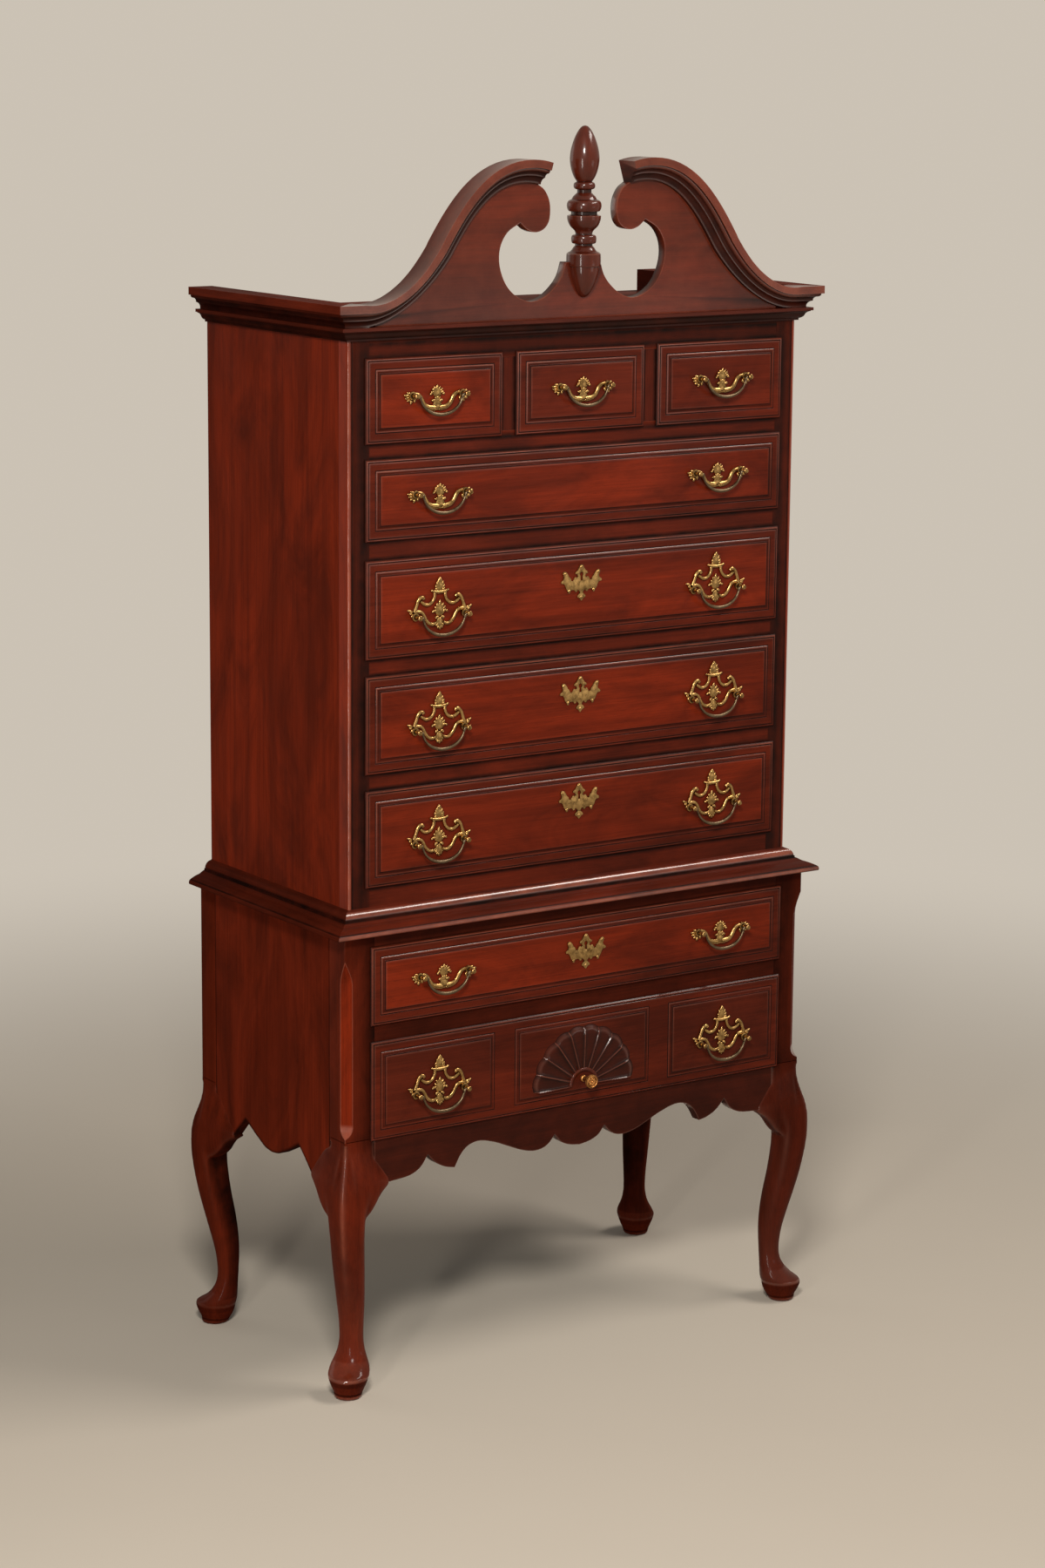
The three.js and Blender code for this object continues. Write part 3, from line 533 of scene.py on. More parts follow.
def make_grain_group():
    """Cherry figure: broad clouds, fine streaks and short dark pores along the grain."""
    group, n, given, out = group_tree(
        "wood figure",
        [("Grain", VECTOR, None), ("Tone", NUMBER, 0.5), ("Deep", COLOUR, None), ("Warm", COLOUR, None),
         ("Brown", COLOUR, None), ("Streaks", NUMBER, 1.0)],
        [("Color", COLOUR), ("Height", NUMBER)])
    link = group.links.new
    clouds = n.noise(n.stretch(given["Grain"], (3.4, 10, 10)), 1.0, 5, 0.62, 1.0)
    bands = n.noise(n.stretch(given["Grain"], (1.1, 46, 46)), 1.0, 5, 0.62, 0.8)
    fine = n.noise(n.stretch(given["Grain"], (9, 420, 420)), 1.0, 3, 0.6)
    pores = n.range(n.noise(n.stretch(given["Grain"], (60, 1500, 1500)), 1.0, 2, 0.5), 0.36, 0.28)
    base = n.mix(given["Tone"], given["Brown"], given["Warm"])
    cloud_dark = n.math("MULTIPLY", n.range(clouds, 0.62, 0.36), 0.56)
    stained = n.mix(cloud_dark, base, given["Deep"])
    band_dark = n.math("MULTIPLY", n.range(bands, 0.58, 0.36), n.math("MULTIPLY", given["Streaks"], 0.3))
    stained = n.mix(band_dark, stained, given["Deep"])
    fine_light = n.range(fine, 0.3, 0.7, 0.86, 1.14)
    lit = n.add("ShaderNodeVectorMath", {0: stained, "Scale": fine_light}, operation="SCALE").outputs[0]
    marked = n.mix(n.math("MULTIPLY", pores, 0.45), lit, given["Deep"])
    link(marked, out.inputs["Color"])
    link(n.math("SUBTRACT", n.math("MULTIPLY", fine, 0.4), n.math("MULTIPLY", pores, 0.6)),
         out.inputs["Height"])
    return group


def make_glaze_and_light_group():
    """Dark glaze left in the hollows, also as painted shade, and wood rubbed pale on the edges, also as
    painted highlight.
    """
    group, n, given, out = group_tree(
        "glaze and rubbing",
        [("Color", COLOUR, None), ("Grain", VECTOR, None), ("Hollow", NUMBER, 0.0), ("Edge", NUMBER, 0.0),
         ("Glaze", COLOUR, None), ("Rubbed", COLOUR, None), ("Roughness", NUMBER, 0.3)],
        [("Color", COLOUR), ("Roughness", NUMBER), ("Polish", NUMBER)])
    patch = n.noise(given["Grain"], 22.0, 4, 0.6)
    # Glaze colour where the glaze layer asks for it: real glaze and painted shade
    held = n.math("MULTIPLY", given["Hollow"], n.range(patch, 0.3, 0.6, 0.62, 0.95), clamp=True)
    # Pale rubbed colour on the edges: real rubbing and painted highlight
    rubbed_and_highlit = n.math("MULTIPLY", given["Edge"], n.range(patch, 0.4, 0.68, 0.16, 0.5), clamp=True)
    group.links.new(given["Edge"], out.inputs["Polish"])
    worn_and_highlit = n.mix(rubbed_and_highlit, given["Color"], given["Rubbed"])
    group.links.new(n.mix(held, worn_and_highlit, given["Glaze"]), out.inputs["Color"])
    smear = n.noise(given["Grain"], 9.0, 5, 0.65)
    rough = n.math("ADD", given["Roughness"], n.range(smear, 0.3, 0.7, -0.06, 0.08))
    group.links.new(n.math("ADD", rough, n.math("MULTIPLY", held, 0.22)), out.inputs["Roughness"])
    return group


def new_material(name):
    material = bpy.data.materials.new(name)
    material.use_nodes = True
    material.node_tree.nodes.clear()
    n = Nodes(material.node_tree)
    shader = n.add("ShaderNodeBsdfPrincipled")
    out = n.add("ShaderNodeOutputMaterial")
    n.tree.links.new(shader.outputs[0], out.inputs["Surface"])
    return n, shader


def wood_material(name, figure, glaze, look, rough, coat, streaks, shine, axis=None, tone=0.0, held=0.0):
    """Stained and lacquered cherry; a piece of the frame is given its grain's axis, tone and glaze, which is
    painted shade over the whole piece.
    """
    n, shader = new_material(name)
    grain = n.board_grain(axis) if axis else n.held("grain", "Vector")
    tone, hollow, edge = (tone, held, 0.0) if axis else (n.held("tone"), n.held("glaze"), n.held("wear"))
    drawn = n.group(figure, {"Grain": grain, "Tone": tone, "Deep": (*look.deep, 1), "Warm": (*look.warm, 1),
                             "Brown": (*look.brown, 1), "Streaks": streaks})
    done = n.group(glaze, {"Color": drawn["Color"], "Grain": grain, "Hollow": hollow, "Edge": edge,
                           "Glaze": (*look.glaze, 1), "Rubbed": (*look.wear, 1), "Roughness": rough})
    n.feed(shader, {"Base Color": done["Color"], "Roughness": done["Roughness"],
                    "Normal": n.bump(drawn["Height"], 0.12, 0.0006), "Specular IOR Level": shine,
                    "Coat Weight": n.math("ADD", done["Polish"], coat, clamp=True), "Coat Roughness": 0.14})


def plain_material(name, figure, look, axis):
    """Pale unfinished wood of the boxes, boards and backs."""
    n, shader = new_material(name)
    grain = n.board_grain(axis)
    drawn = n.group(figure, {"Grain": grain, "Tone": 0.6, "Deep": (*look.plain_dark, 1),
                             "Warm": (*look.plain, 1), "Brown": (*look.plain, 1), "Streaks": 0.7})
    n.feed(shader, {"Base Color": drawn["Color"], "Normal": n.bump(drawn["Height"], 0.3, 0.0008),
                    "Roughness": n.range(n.noise(grain, 14.0), 0.3, 0.7, 0.55, 0.75)})


def brass_material(name, look, rough, tarnish=0.0, bright=None, aged=None):
    """Cast brass, rubbed bright on its high places and dark in its hollows."""
    n, shader = new_material(name)
    cloud, pits = n.noise(n.place(), 130.0, 4, 0.6), n.noise(n.place(), 620.0, 3, 0.6)
    bright, aged = (*(bright or look.bright), 1), (*(aged or look.aged), 1)
    toned = n.mix(n.range(cloud, 0.34, 0.62), aged, bright)
    toned = n.mix(n.math("MULTIPLY", n.held("wear"), 0.5), toned, bright)
    pitted = n.range(pits, 0.36, 0.24, tarnish, 0.7)
    dirt = n.math("MAXIMUM", n.math("MULTIPLY", n.held("glaze"), 1.1), pitted, clamp=True)
    dulled = n.math("ADD", cloud, n.math("MULTIPLY", dirt, 0.4))
    n.feed(shader, {"Base Color": n.mix(dirt, toned, (*look.dark, 1)), "Normal": n.bump(pits, 0.25, 0.0004),
                    "Roughness": n.range(dulled, 0.3, 1.0, rough - 0.06, rough + 0.3), "Metallic": 1.0})


# Finishes of the cherry as roughness, coat, strength of the streaks and specular level
CHERRY = {
    "stained_cherry": (0.34, 0.02, 1, 0.06), "turned_cherry": (0.3, 0.35, 1, 0.08),
    "crown_cherry": (0.34, 0.05, 1, 0.11), "leg_cherry": (0.48, 0, 0.8, 0.02),
    "rear_leg_cherry": (0.5, 0, 0.8, 0.004), "carved_cherry": (0.34, 0.2, 0.6, 0.03),
    "panel_cherry": (0.5, 0, 1, 0.007),
}
# Warmth of the frame's own boards, by the axis of their grain
BOARD_TONES = {"x": 0.35, "y": 0.3, "z": 0.66}


class HighboyFinishes(bpy.types.Operator):
    """Makes the lacquered cherry, the plain inner wood and the brass"""
    bl_idname = "highboy.finishes"
    bl_label = "Finishes"

    def execute(self, context):
        look, brass = context.scene.highboy_wood, context.scene.highboy_brass
        figure, glaze = make_grain_group(), make_glaze_and_light_group()
        for name, values in CHERRY.items():
            wood_material(name, figure, glaze, look, *values)
        # A copy of the frame's cherry, darkened all over by glaze as painted shade, for rails in shadow
        wood_material("shaded_cherry", figure, glaze, look, 0.4, 0, 1, 0.03, "x", 0.2, 0.5)
        for axis, tone in BOARD_TONES.items():
            wood_material(f"cherry_{axis}", figure, glaze, look, 0.5, 0, 1, 0.015, axis, tone)
            plain_material(f"inner_{axis}", figure, look, axis)
        brass_material("cast_brass", brass, 0.22)
        brass_material("bright_brass", brass, 0.3, -0.4, paint(206, 146, 84), paint(140, 92, 46))
        brass_material("brass_wire", brass, 0.3, 0.0, (0.16, 0.115, 0.07), (0.075, 0.05, 0.028))
        return {"FINISHED"}


# Carcase

# Half widths, depth and heights of the case, in mm; the lower front stands ahead of the upper one
UPPER_HALF, LOWER_HALF, DEPTH = 450, 472, 450
LOWER_TOP, UPPER_TOP, BOARD_TOP = 793, 1761, 1779
LOWER_FRONT = -25
# Rows of the drawers from the top: lip bottom, lip top, front plane
ROWS = ((1591, 1729, 0), (1434, 1567, 0), (1242, 1404, 0), (1053, 1215, 0), (864, 1026, 0),
        (638, 772, LOWER_FRONT), (442, 611, LOWER_FRONT))
# Lap of a drawer's lip over the frame, its stand ahead of it, and the bare uprights beside the drawers
LAP, PROUD, UPPER_STILE, LOWER_STILE = 9, 8, 31, 48
FRAME_DEPTH, MUNTIN = 28, (120, 165) # depth of the frame, and the edges of the top row's uprights
# Painted shade at the first points of the corner stile's section, from the drawers out, darkest beside the
# drawers and in the bead's groove, and its bead's points
STILE_SHADE = (0.9, 1, 0.95, 0.6, 0.7, 1, 1, 1, 1, 1, 1, 1, 0.9, 0.4)
BEAD_START, BEAD_TONE_END, BEAD_CREST, STILE_BACK = 13, 17, (16, 20), 24
# Painted shadow round a rail from its edges in, under the drawer lips, as (inset, glaze), before the middle's
# own
RAIL_SHADE = ((LAP - 0.5, 1), (2.2, 1))


class HighboyCarcase(bpy.types.Operator):
    """Finishes the boards that keep the frame's own shape, and softens their edges"""
    bl_idname = "highboy.carcase"
    bl_label = "Carcase boards"

    def execute(self, context):
        edge = context.scene.highboy_wood.edge
        woods = {"upper_side_left": "cherry_z", "upper_side_right": "cherry_z", "upper_top_board": "cherry_x",
                 # the lower case's top frame and drawer divider take painted shade
                 "lower_top_frame": "shaded_cherry", "lower_drawer_divider": "shaded_cherry",
                 "upper_back": "inner_z", "lower_back": "inner_x", "upper_bottom_board": "inner_x"}
        woods.update({f"upper_dust_board_{n}": "inner_x" for n in range(1, 5)})
        woods.update({name: "inner_x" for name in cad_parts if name.endswith("_box")})
        for name, finish in woods.items():
            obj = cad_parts[name]
            obj.data.materials.clear()
            obj.data.materials.append(bpy.data.materials[finish])
            weld = obj.modifiers.new("join", "WELD")
            weld.merge_threshold = 0.00001
            round_over = obj.modifiers.new("edge", "BEVEL")
            round_over.width = edge
            round_over.segments = 2
            round_over.limit_method = "ANGLE"
            round_over.angle_limit = radians(40)
        return {"FINISHED"}


class HighboyFaceFrame(bpy.types.Operator):
    """Builds the upper front: corner stiles with a bead, rails and the uprights of the top row"""
    bl_idname = "highboy.face_frame"
    bl_label = "Upper face frame"

    def execute(self, context):
        bm = new_shape()
        opening = UPPER_HALF - UPPER_STILE - LAP
        for side in (-1, 1):
            outline = [Vector(p) for p in ((opening, 0), (419, 0), (425, 0), (434, 0), (440.2, 0))]
            outline += section((440.8, 0.4), (442, 1.8, -0.4), (443.2, 0.4, -0.4), (446.4, 0.1, -0.12),
                               (UPPER_HALF, 4.2, -0.4), (UPPER_HALF, FRAME_DEPTH), (opening, FRAME_DEPTH),
                               steps=4)
            part = new_shape()
            tones, hollow, worn_and_highlit = finish_layers(part)
            for row in loft(part, [[Vector((side * p.x, p.y, z)) for p in outline]
                                   for z in (LOWER_TOP, UPPER_TOP)], shift=side * 2.3, tone=0.25):
                for index, glaze in enumerate(STILE_SHADE):
                    row[index][hollow] = glaze
                # Painted highlight along the bead's crest; the bead's side is warmer
                for index in range(BEAD_START, STILE_BACK + 1):
                    row[index][worn_and_highlit] = 1.0 if index in range(*BEAD_CREST) else 0.0
                    row[index][tones] = 0.4 if index < BEAD_TONE_END else 1.0
                # Painted shade on the stile's back edge
                row[STILE_BACK][hollow] = 1.0
            add_shape(bm, part)
        rails = [(LOWER_TOP, ROWS[4][0] + LAP)]
        rails += [(below[1] - LAP, above[0] + LAP) for above, below in zip(ROWS[:4], ROWS[1:5])]
        rails += [(ROWS[0][1] - LAP, UPPER_TOP)]
        for index, (low, high) in enumerate(rails):
            # The top rail, under the ledge, is darker all over as painted shade; the others keep a little
            # painted shade
            shaded = 0.6 if high == UPPER_TOP else 0.15
            board(bm, -opening - 14, opening + 14, 0.15, FRAME_DEPTH, low, high, "x", 3.1 + index,
                  0.35 - shaded / 4, 0.5, (*RAIL_SHADE, (5, shaded)))
        for side in (-1, 1):
            edges = sorted(side * x for x in MUNTIN)
            board(bm, *edges, 0.3, FRAME_DEPTH, ROWS[0][0] + LAP - 14, ROWS[0][1] - LAP + 14, "z", 7 + side,
                  0.25, 0.5, (*RAIL_SHADE, (5, 0.3)))
        finish_piece("face_frame", bm, "case", "stained_cherry", ["upper_face_frame"])
        return {"FINISHED"}


# Sections as (reach, height), from the case out and back
WAIST = section((0, 0), (43.6, 0), (45, 3.6, -0.4), (42.4, 8.6, -0.3), (28, 15.2, -0.06), (20.5, 18.6, 0.1),
                (14.4, 22, -0.06), (14.4, 24.6), (13, 25), (1.6, 37.8, -0.36), (0, 39), (0, 0))[:-1]
LEDGE = section((0, 0), (4, 0), (4, 3.2), (11.8, 10.6, -0.3), (18.4, 15.4, 0.24), (18.6, 16.9), (22, 16.9),
                (22, 22), (0, 22), (0, 0))[:-1]
CROWN = section((-10, 0), (13, 0), (13, 3.2), (19.6, 11, 0.3), (21, 11.4), (21, 14), (25.4, 18.4, 0.24),
                (31, 21.8, -0.36), (31, 24), (35, 24), (35, 37), (-10, 37), (-10, 0))[:-1]
# Reach of the crown's top band, which is lightened as painted sheen, and the ledge's height
CROWN_FASCIA, LEDGE_HEIGHT = 33, 22
# Heights on the waist moulding where glaze fills a dark line as painted shade, and where painted highlights
# lie along the nose and the torus
WAIST_LINES, WAIST_HIGHLIGHTS = ((8, 9.4), (21, 26)), ((1.5, 6.5), (28, 36))


def overhung(outline):
    """How much painted shade, held as glaze, each point of a section takes, by how far the moulding above it
    stands out.
    """
    back = min(p.x for p in outline)
    above = [max([q.x for q in outline if q.y > p.y + 0.6], default=p.x) - p.x if p.x > back else 0
             for p in outline]
    return [max(0.0, min(0.85, (out - 0.5) / 9)) for out in above]


def within(height, bands):
    return any(low < height < high for low, high in bands)


def wrap_moulding(name, outline, base, tone, node, front, lines=(), rubbed_and_highlit=()):
    """A moulding in three lengths, mitred at the front corners."""
    def ring(side, rear):
        return [Vector((side * (UPPER_HALF + p.x), DEPTH if rear else -p.x, base + p.y)) for p in outline]
    # Dark lines, and painted shade under the overhangs, laid as glaze
    glaze = [1.0 if within(p.y, lines) else held for p, held in zip(outline, overhung(outline))]
    for part, shift, rings in (("front", 4.2, (ring(-1, False), ring(1, False))),
                               ("left", 5.7, (ring(-1, True), ring(-1, False))),
                               ("right", 6.9, (ring(1, False), ring(1, True)))):
        bm = new_shape()
        loft(bm, rings, shift=shift, tone=tone, glaze=glaze)
        # The front length takes painted highlights in its bands; the side lengths are darker all over as
        # painted shade
        if part == "front":
            mark(bm, lambda place: within(place.z - base, rubbed_and_highlit), wear=1.0)
        else:
            hold(bm, "glaze", 0.4)
        finish_piece(f"{name}_{part}", bm, "case", front if part == "front" else "panel_cherry",
                     [node])


class HighboyMouldings(bpy.types.Operator):
    """Runs the waist moulding and the ledge under the pediment round the case"""
    bl_idname = "highboy.mouldings"
    bl_label = "Waist and ledge mouldings"

    def execute(self, context):
        wrap_moulding("waist", WAIST, LOWER_TOP, 0.25, "waist_moulding", "stained_cherry", WAIST_LINES,
                      WAIST_HIGHLIGHTS)
        wrap_moulding("ledge", LEDGE, BOARD_TOP - LEDGE_HEIGHT, 0.15, "cornice_ledge", "crown_cherry")
        return {"FINISHED"}


# Pediment

# The plinth's half width, the pediment's height over the case, and the board's front and back
PLINTH_HALF, PEDIMENT_HEIGHT, BOARD_FRONT, BOARD_BACK = 34.5, 222, -6, 12
# The opening, the scroll and the swan neck as shares of the width beside the plinth and of the height
OPENING = ((0, 0.41), (0.018, 0.311), (0.052, 0.23), (0.105, 0.158), (0.167, 0.131), (0.235, 0.176),
           (0.285, 0.266), (0.314, 0.401), (0.312, 0.532), (0.278, 0.64), (0.218, 0.707))
VOLUTE = ((0.218, 0.707), (0.1865, 0.658), (0.148, 0.635), (0.1095, 0.653), (0.084, 0.707), (0.077, 0.788),
          (0.083, 0.869), (0.105, 0.941), (0.136, 0.982))
CROWN_CURVES = (((0.136, 0.982), (0.165, 0.998), (0.1866, 1), (0.2106, 1)),
                ((0.2106, 1), (0.3646, 1), (0.461, 0.752), (0.5475, 0.4955)),
                ((0.5475, 0.4955), (0.6366, 0.2658), (0.8026, 0), (0.9663, 0)))
# How much slimmer the moulding is along its last curve, as shares of CROWN_SLIMMING
CROWN_SLIMMING = 0.18
CROWN_SLIM = (0.08, 0.28, 0.53, 0.8, 0.97, 1, 0.92, 0.7, 0.35, 0)


def scroll_point(share):
    return Vector((PLINTH_HALF + share[0] * (UPPER_HALF - PLINTH_HALF),
                   BOARD_TOP + share[1] * PEDIMENT_HEIGHT))


def crown_stations():
    """Places along the swan neck: the point, its outward direction and how slim the moulding is there."""
    stations = []
    for part, (curve, count) in enumerate(zip(CROWN_CURVES, (5, 18, 18))):
        a, b, c, d = (scroll_point(share) for share in curve)
        for step in range(1 if part else 0, count + 1):
            t = step / count
            u = 1 - t
            point = a * u ** 3 + b * 3 * u * u * t + c * 3 * u * t * t + d * t ** 3
            slope = ((b - a) * u * u + (c - b) * 2 * u * t + (d - c) * t * t).normalized()
            slim = 0.0
            if part == 2:
                at = t * (len(CROWN_SLIM) - 1)
                low = min(int(at), len(CROWN_SLIM) - 2)
                slim = CROWN_SLIM[low] + (CROWN_SLIM[low + 1] - CROWN_SLIM[low]) * (at - low)
            stations.append((point, Vector((-slope.y, slope.x)), 1 - CROWN_SLIMMING * slim))
    return stations


class HighboyPediment(bpy.types.Operator):
    """Cuts the scrolled board and runs the swan necks with their side returns"""
    bl_idname = "highboy.pediment"
    bl_label = "Pediment"

    def execute(self, context):
        stations = crown_stations()
        half = [*smooth_run([scroll_point(s) for s in OPENING], 4),
                *smooth_run([scroll_point(s) for s in VOLUTE], 4)[1:],
                *[point for point, _, _ in stations[1:] if point.y > BOARD_TOP + 3]]
        half.append(Vector((half[-1].x, BOARD_TOP)))
        outline = [(-p.x, p.y) for p in reversed(half)] + [(p.x, p.y) for p in half]
        bm = new_shape()
        slab(bm, outline, BOARD_FRONT, BOARD_BACK, front_place, "x", 11.3, 0.25, 0.8)
        # Painted sheen over the whole board, and painted shade on its edge faces and back
        hold(bm, "wear", 0.2)
        mark(bm, lambda place: place.y > BOARD_FRONT + 0.4, glaze=1, wear=0)
        finish_piece("pediment", bm, "case", "crown_cherry", ["pediment_board"])
        for side, name in ((-1, "crown_left"), (1, "crown_right")):
            rings = [[Vector((side * (p.x + out.x * q.y * size), -q.x, p.y + out.y * q.y * size))
                      for q in CROWN] for p, out, size in stations]
            corner, rear = ([Vector((side * (UPPER_HALF + q.x), y if y else -q.x, BOARD_TOP + q.y))
                             for q in CROWN] for y in (0, DEPTH))
            bm = new_shape()
            rows = loft(bm, [*rings, corner], shift=side * 3.3, tone=0.2, glaze=overhung(CROWN))
            # Painted sheen on the crown's top band
            for row in rows:
                for vert, place in zip(row, CROWN):
                    if place.x > CROWN_FASCIA:
                        vert[finish_layers(bm)[2]] = 0.6
            finish_piece(name + "_swan", bm, "case", "crown_cherry", [name])
            bm = new_shape()
            loft(bm, [corner, rear], shift=side * 5.1, tone=0.3, glaze=overhung(CROWN))
            finish_piece(name + "_return", bm, "case", "panel_cherry", [name])
        return {"FINISHED"}


FINIAL_RADIUS, FINIAL_LENGTH, FINIAL_PLACE = 28.6, 279, (0, -7, BOARD_TOP + 32.5)
# Finial outline from the drop up as (share of the radius, share of the height), in runs that each start
# where the one before ends
FINIAL_RUNS = (
    ((0, 0), (0.21, 0.006), (0.4545, 0.035), (0.7, 0.088), (0.857, 0.142), (0.905, 0.18)),
    ((0.905, 0.183),), ((0.99, 0.187), (1, 0.222), (0.99, 0.257)), ((0.92, 0.262),),
    ((0.74, 0.273), (0.6, 0.293), (0.507, 0.303)), ((0.507, 0.313),),
    ((0.68, 0.319), (0.73, 0.3405), (0.68, 0.362), (0.49, 0.369)), ((0.49, 0.376),),
    ((0.56, 0.392), (0.804, 0.4175), (0.95, 0.45), (0.9755, 0.4785)), ((0.752, 0.4855),), ((0.752, 0.501),),
    ((0.92, 0.507), (1, 0.535), (0.93, 0.561), (0.73, 0.5725)),
    ((0.64, 0.589), (0.5, 0.603), (0.4125, 0.611)), ((0.4125, 0.628),),
    ((0.58, 0.636), (0.625, 0.651), (0.58, 0.667), (0.437, 0.675)),
    ((0.6, 0.7), (0.75, 0.738), (0.84, 0.785), (0.845, 0.825), (0.769, 0.872), (0.6, 0.926), (0.4, 0.967),
     (0.19, 0.993), (0, 1)),
)


class HighboyFinial(bpy.types.Operator):
    """Turns the finial with its acorn drop"""
    bl_idname = "highboy.finial"
    bl_label = "Finial"

    def execute(self, context):
        points, end = [Vector((0, 0))], ()
        for run in FINIAL_RUNS:
            points += smooth_run((*end, *run), 5 if len(run) > 1 else 1)[1:]
            end = run[-1:]
        profile = [(p.x * FINIAL_RADIUS, p.y * FINIAL_LENGTH) for p in points]
        bm = new_shape()
        turned(bm, profile, FINIAL_PLACE, Z, 40, 1.7, 0.3)
        # Darker all over as painted shade
        hold(bm, "glaze", 0.3)
        finish_piece("finial_turned", bm, "case", "turned_cherry", ["finial"], relief=0.5)
        return {"FINISHED"}


# Lower case

# Underside of the apron, and how far its scallops rise
APRON_LOW, SCALLOP = 366, 34
# Scallops from the middle out, as shares of the half length and of the scallops' height
FRONT_LOBES = (((0, 0.03), (0.048, 0.12), (0.092, 0.35), (0.125, 0.79)),
               ((0.125, 0.79), (0.164, 0.32), (0.217, 0.15), (0.282, 0.29), (0.349, 0.62), (0.417, 0.97),
                (0.489, 1.21), (0.545, 1.12), (0.5855, 0.735), (0.617, 0.09)),
               ((0.617, 0.09), (0.66, 0.21), (0.706, 0.5), (0.747, 1)),
               ((0.747, 1), (0.781, 0.44), (0.834, 0.12), (0.928, 0)))
SIDE_LOBES = (((0, 0.12), (0.117, 0.21), (0.223, 0.47), (0.34, 0.79), (0.467, 1.18)),
              ((0.467, 1.18), (0.573, 0.65), (0.69, 0)))
# Side boards of the lower case: inner face, and the middle and half length between the posts
SIDE_INSIDE, SIDE_MIDDLE, SIDE_REACH = 454, 212.5, 189.2


def scalloped(lobes, half, top):
    """The outline of a scalloped board, as (along, height) about its middle."""
    edge = []
    for lobe_points in lobes:
        run = smooth_run([(a * half, APRON_LOW + b * SCALLOP) for a, b in lobe_points], 4)
        edge += run if not edge else run[1:]
    edge.append(Vector((half, APRON_LOW)))
    bottom = [(-p.x, p.y) for p in reversed(edge[1:])] + [(p.x, p.y) for p in edge]
    if edge[0].x > 0.001:
        bottom = [(-p.x, p.y) for p in reversed(edge)] + [(p.x, p.y) for p in edge]
    return [*bottom, (half, top), (-half, top)]


class HighboyLowerCase(bpy.types.Operator):
    """Cuts the scalloped apron and side boards"""
    bl_idname = "highboy.lower_case"
    bl_label = "Apron and lower sides"

    def execute(self, context):
        opening = LOWER_HALF - LOWER_STILE - LAP
        between_posts, low, high = (23, 402), ROWS[6][0] - 9, ROWS[6][0] + LAP
        bm = new_shape()
        slab(bm, scalloped(FRONT_LOBES, opening, high), LOWER_FRONT, LOWER_FRONT + 20, front_place, "x", 8.8,
             0.1, 1.2)
        board(bm, -opening, opening, -7, 438, low, high, "x", 2.2, 0.2)
        board(bm, -SIDE_INSIDE, SIDE_INSIDE, *between_posts, low, high, "x", 2.2, 0.2)
        for side in (-1, 1):
            across = sorted((side * opening, side * SIDE_INSIDE))
            board(bm, *across, *between_posts, high - 2, high + 20, "y", 2.9, 0.2)
        # Darker all over as painted shade under the case
        hold(bm, "glaze", 0.55)
        finish_piece("apron", bm, "case", "stained_cherry", ["lower_front_apron"])
        for side, name in ((-1, "lower_side_left"), (1, "lower_side_right")):
            outline = [(a + SIDE_MIDDLE, b) for a, b in scalloped(SIDE_LOBES, SIDE_REACH, LOWER_TOP)]
            bm = new_shape()
            slab(bm, outline, side * SIDE_INSIDE, side * (LOWER_HALF - 0.4), side_place, "z", 4.4 * side,
                 0.45, 1.2, 1.0, support=5)
            finish_piece(name + "_panel", bm, "case", "panel_cherry", [name], relief=0)
        return {"FINISHED"}


# Leg sections: height as a share of the room under the apron; outer and inner reach from the
# post corner along its diagonal and half width across it, in mm; then how round each half is
LEG = ((0, 3, 42, 22, 2, 2), (0.0055, 4.5, 44, 24, 2, 2), (0.0164, 4.5, 44, 24, 2, 2),
       (0.0219, 3, 46, 23.5, 2, 2), (0.0546, 10, 53, 29, 1.9, 2), (0.0902, 15, 56, 34, 1.75, 2),
       (0.1066, 13, 58, 35.5, 1.75, 2), (0.123, 1.5, 59, 35, 1.85, 2), (0.1448, -9, 59.5, 33, 2, 2),
       (0.1721, -17, 60, 28.5, 2, 2), (0.2104, -23.5, 61, 23.5, 2, 2), (0.2678, -25.5, 62.5, 20.5, 2, 2),
       (0.3579, -21.5, 64, 21.5, 1.95, 2), (0.4508, -12.5, 62.5, 24, 1.8, 1.9),
       (0.5464, -2, 58, 26, 1.6, 1.8), (0.6421, 8, 51.5, 28, 1.4, 1.7), (0.7377, 16, 46.5, 29.5, 1.25, 1.6),
       (0.8197, 21, 44, 31.5, 1.15, 1.5), (0.888, 23, 46, 34, 1.1, 1.3), (0.9563, 22, 58, 39.5, 1.06, 1.15),
       (1.0164, 17.5, 66, 41, 1.04, 1.05), (1.071, 9.5, 66.5, 38, 1.04, 1.05),
       (1.1257, 3, 66.5, 34.7, 1.02, 1.05), (1.2022, -1, 66, 32.5, 1.02, 1.05))
BRACKET = ((0.1, 1, 1, 1), (0.3, 1, 1, 1), (0.55, 0.85, 0.85, 0.74), (0.78, 0.5, 0.48, 0.3),
           (1, 0.08, 0.06, 0.06))
BRACKET_FRONT, BRACKET_SIDE, BRACKET_DEPTH = 87, 110, 22
BRACKET_BULGE, BRACKET_RISE, BRACKET_HANG = 15, 66, 58
LEG_JOIN, KNEE_SHADE_START = 446, 380
LEG_SIDES, LEG_VOXEL, LEG_SMOOTHING = 40, 1.9, 18
POST_WIDTH, POST_DEPTH = 57, 48
# Depth of the post's corner cut by height: hollow ends below and above a straight run
CORNER_CUT = {451: 0.8, 455: 8, 459: 12, 464: 14.6, 469: 15.7, 475: 16, 712: 16, 722: 14.4, 733: 10.6,
              744: 5.6, 754: 0.8}
# Below this height the chamfer's hollow foot carries a painted glint
CUT_GLINT_BELOW = 472
# Bands round the foot as (low, high, amount): painted highlights on the pad's edge and its bead, painted
# shade between
FOOT_HIGHLIGHTS = ((34, 38.5, 1), (1.5, 6, 0.7), (6, 33, 0))
FOOT_SHADE = ((24, 32.5, 0.5), (7, 10.5, 0.9))


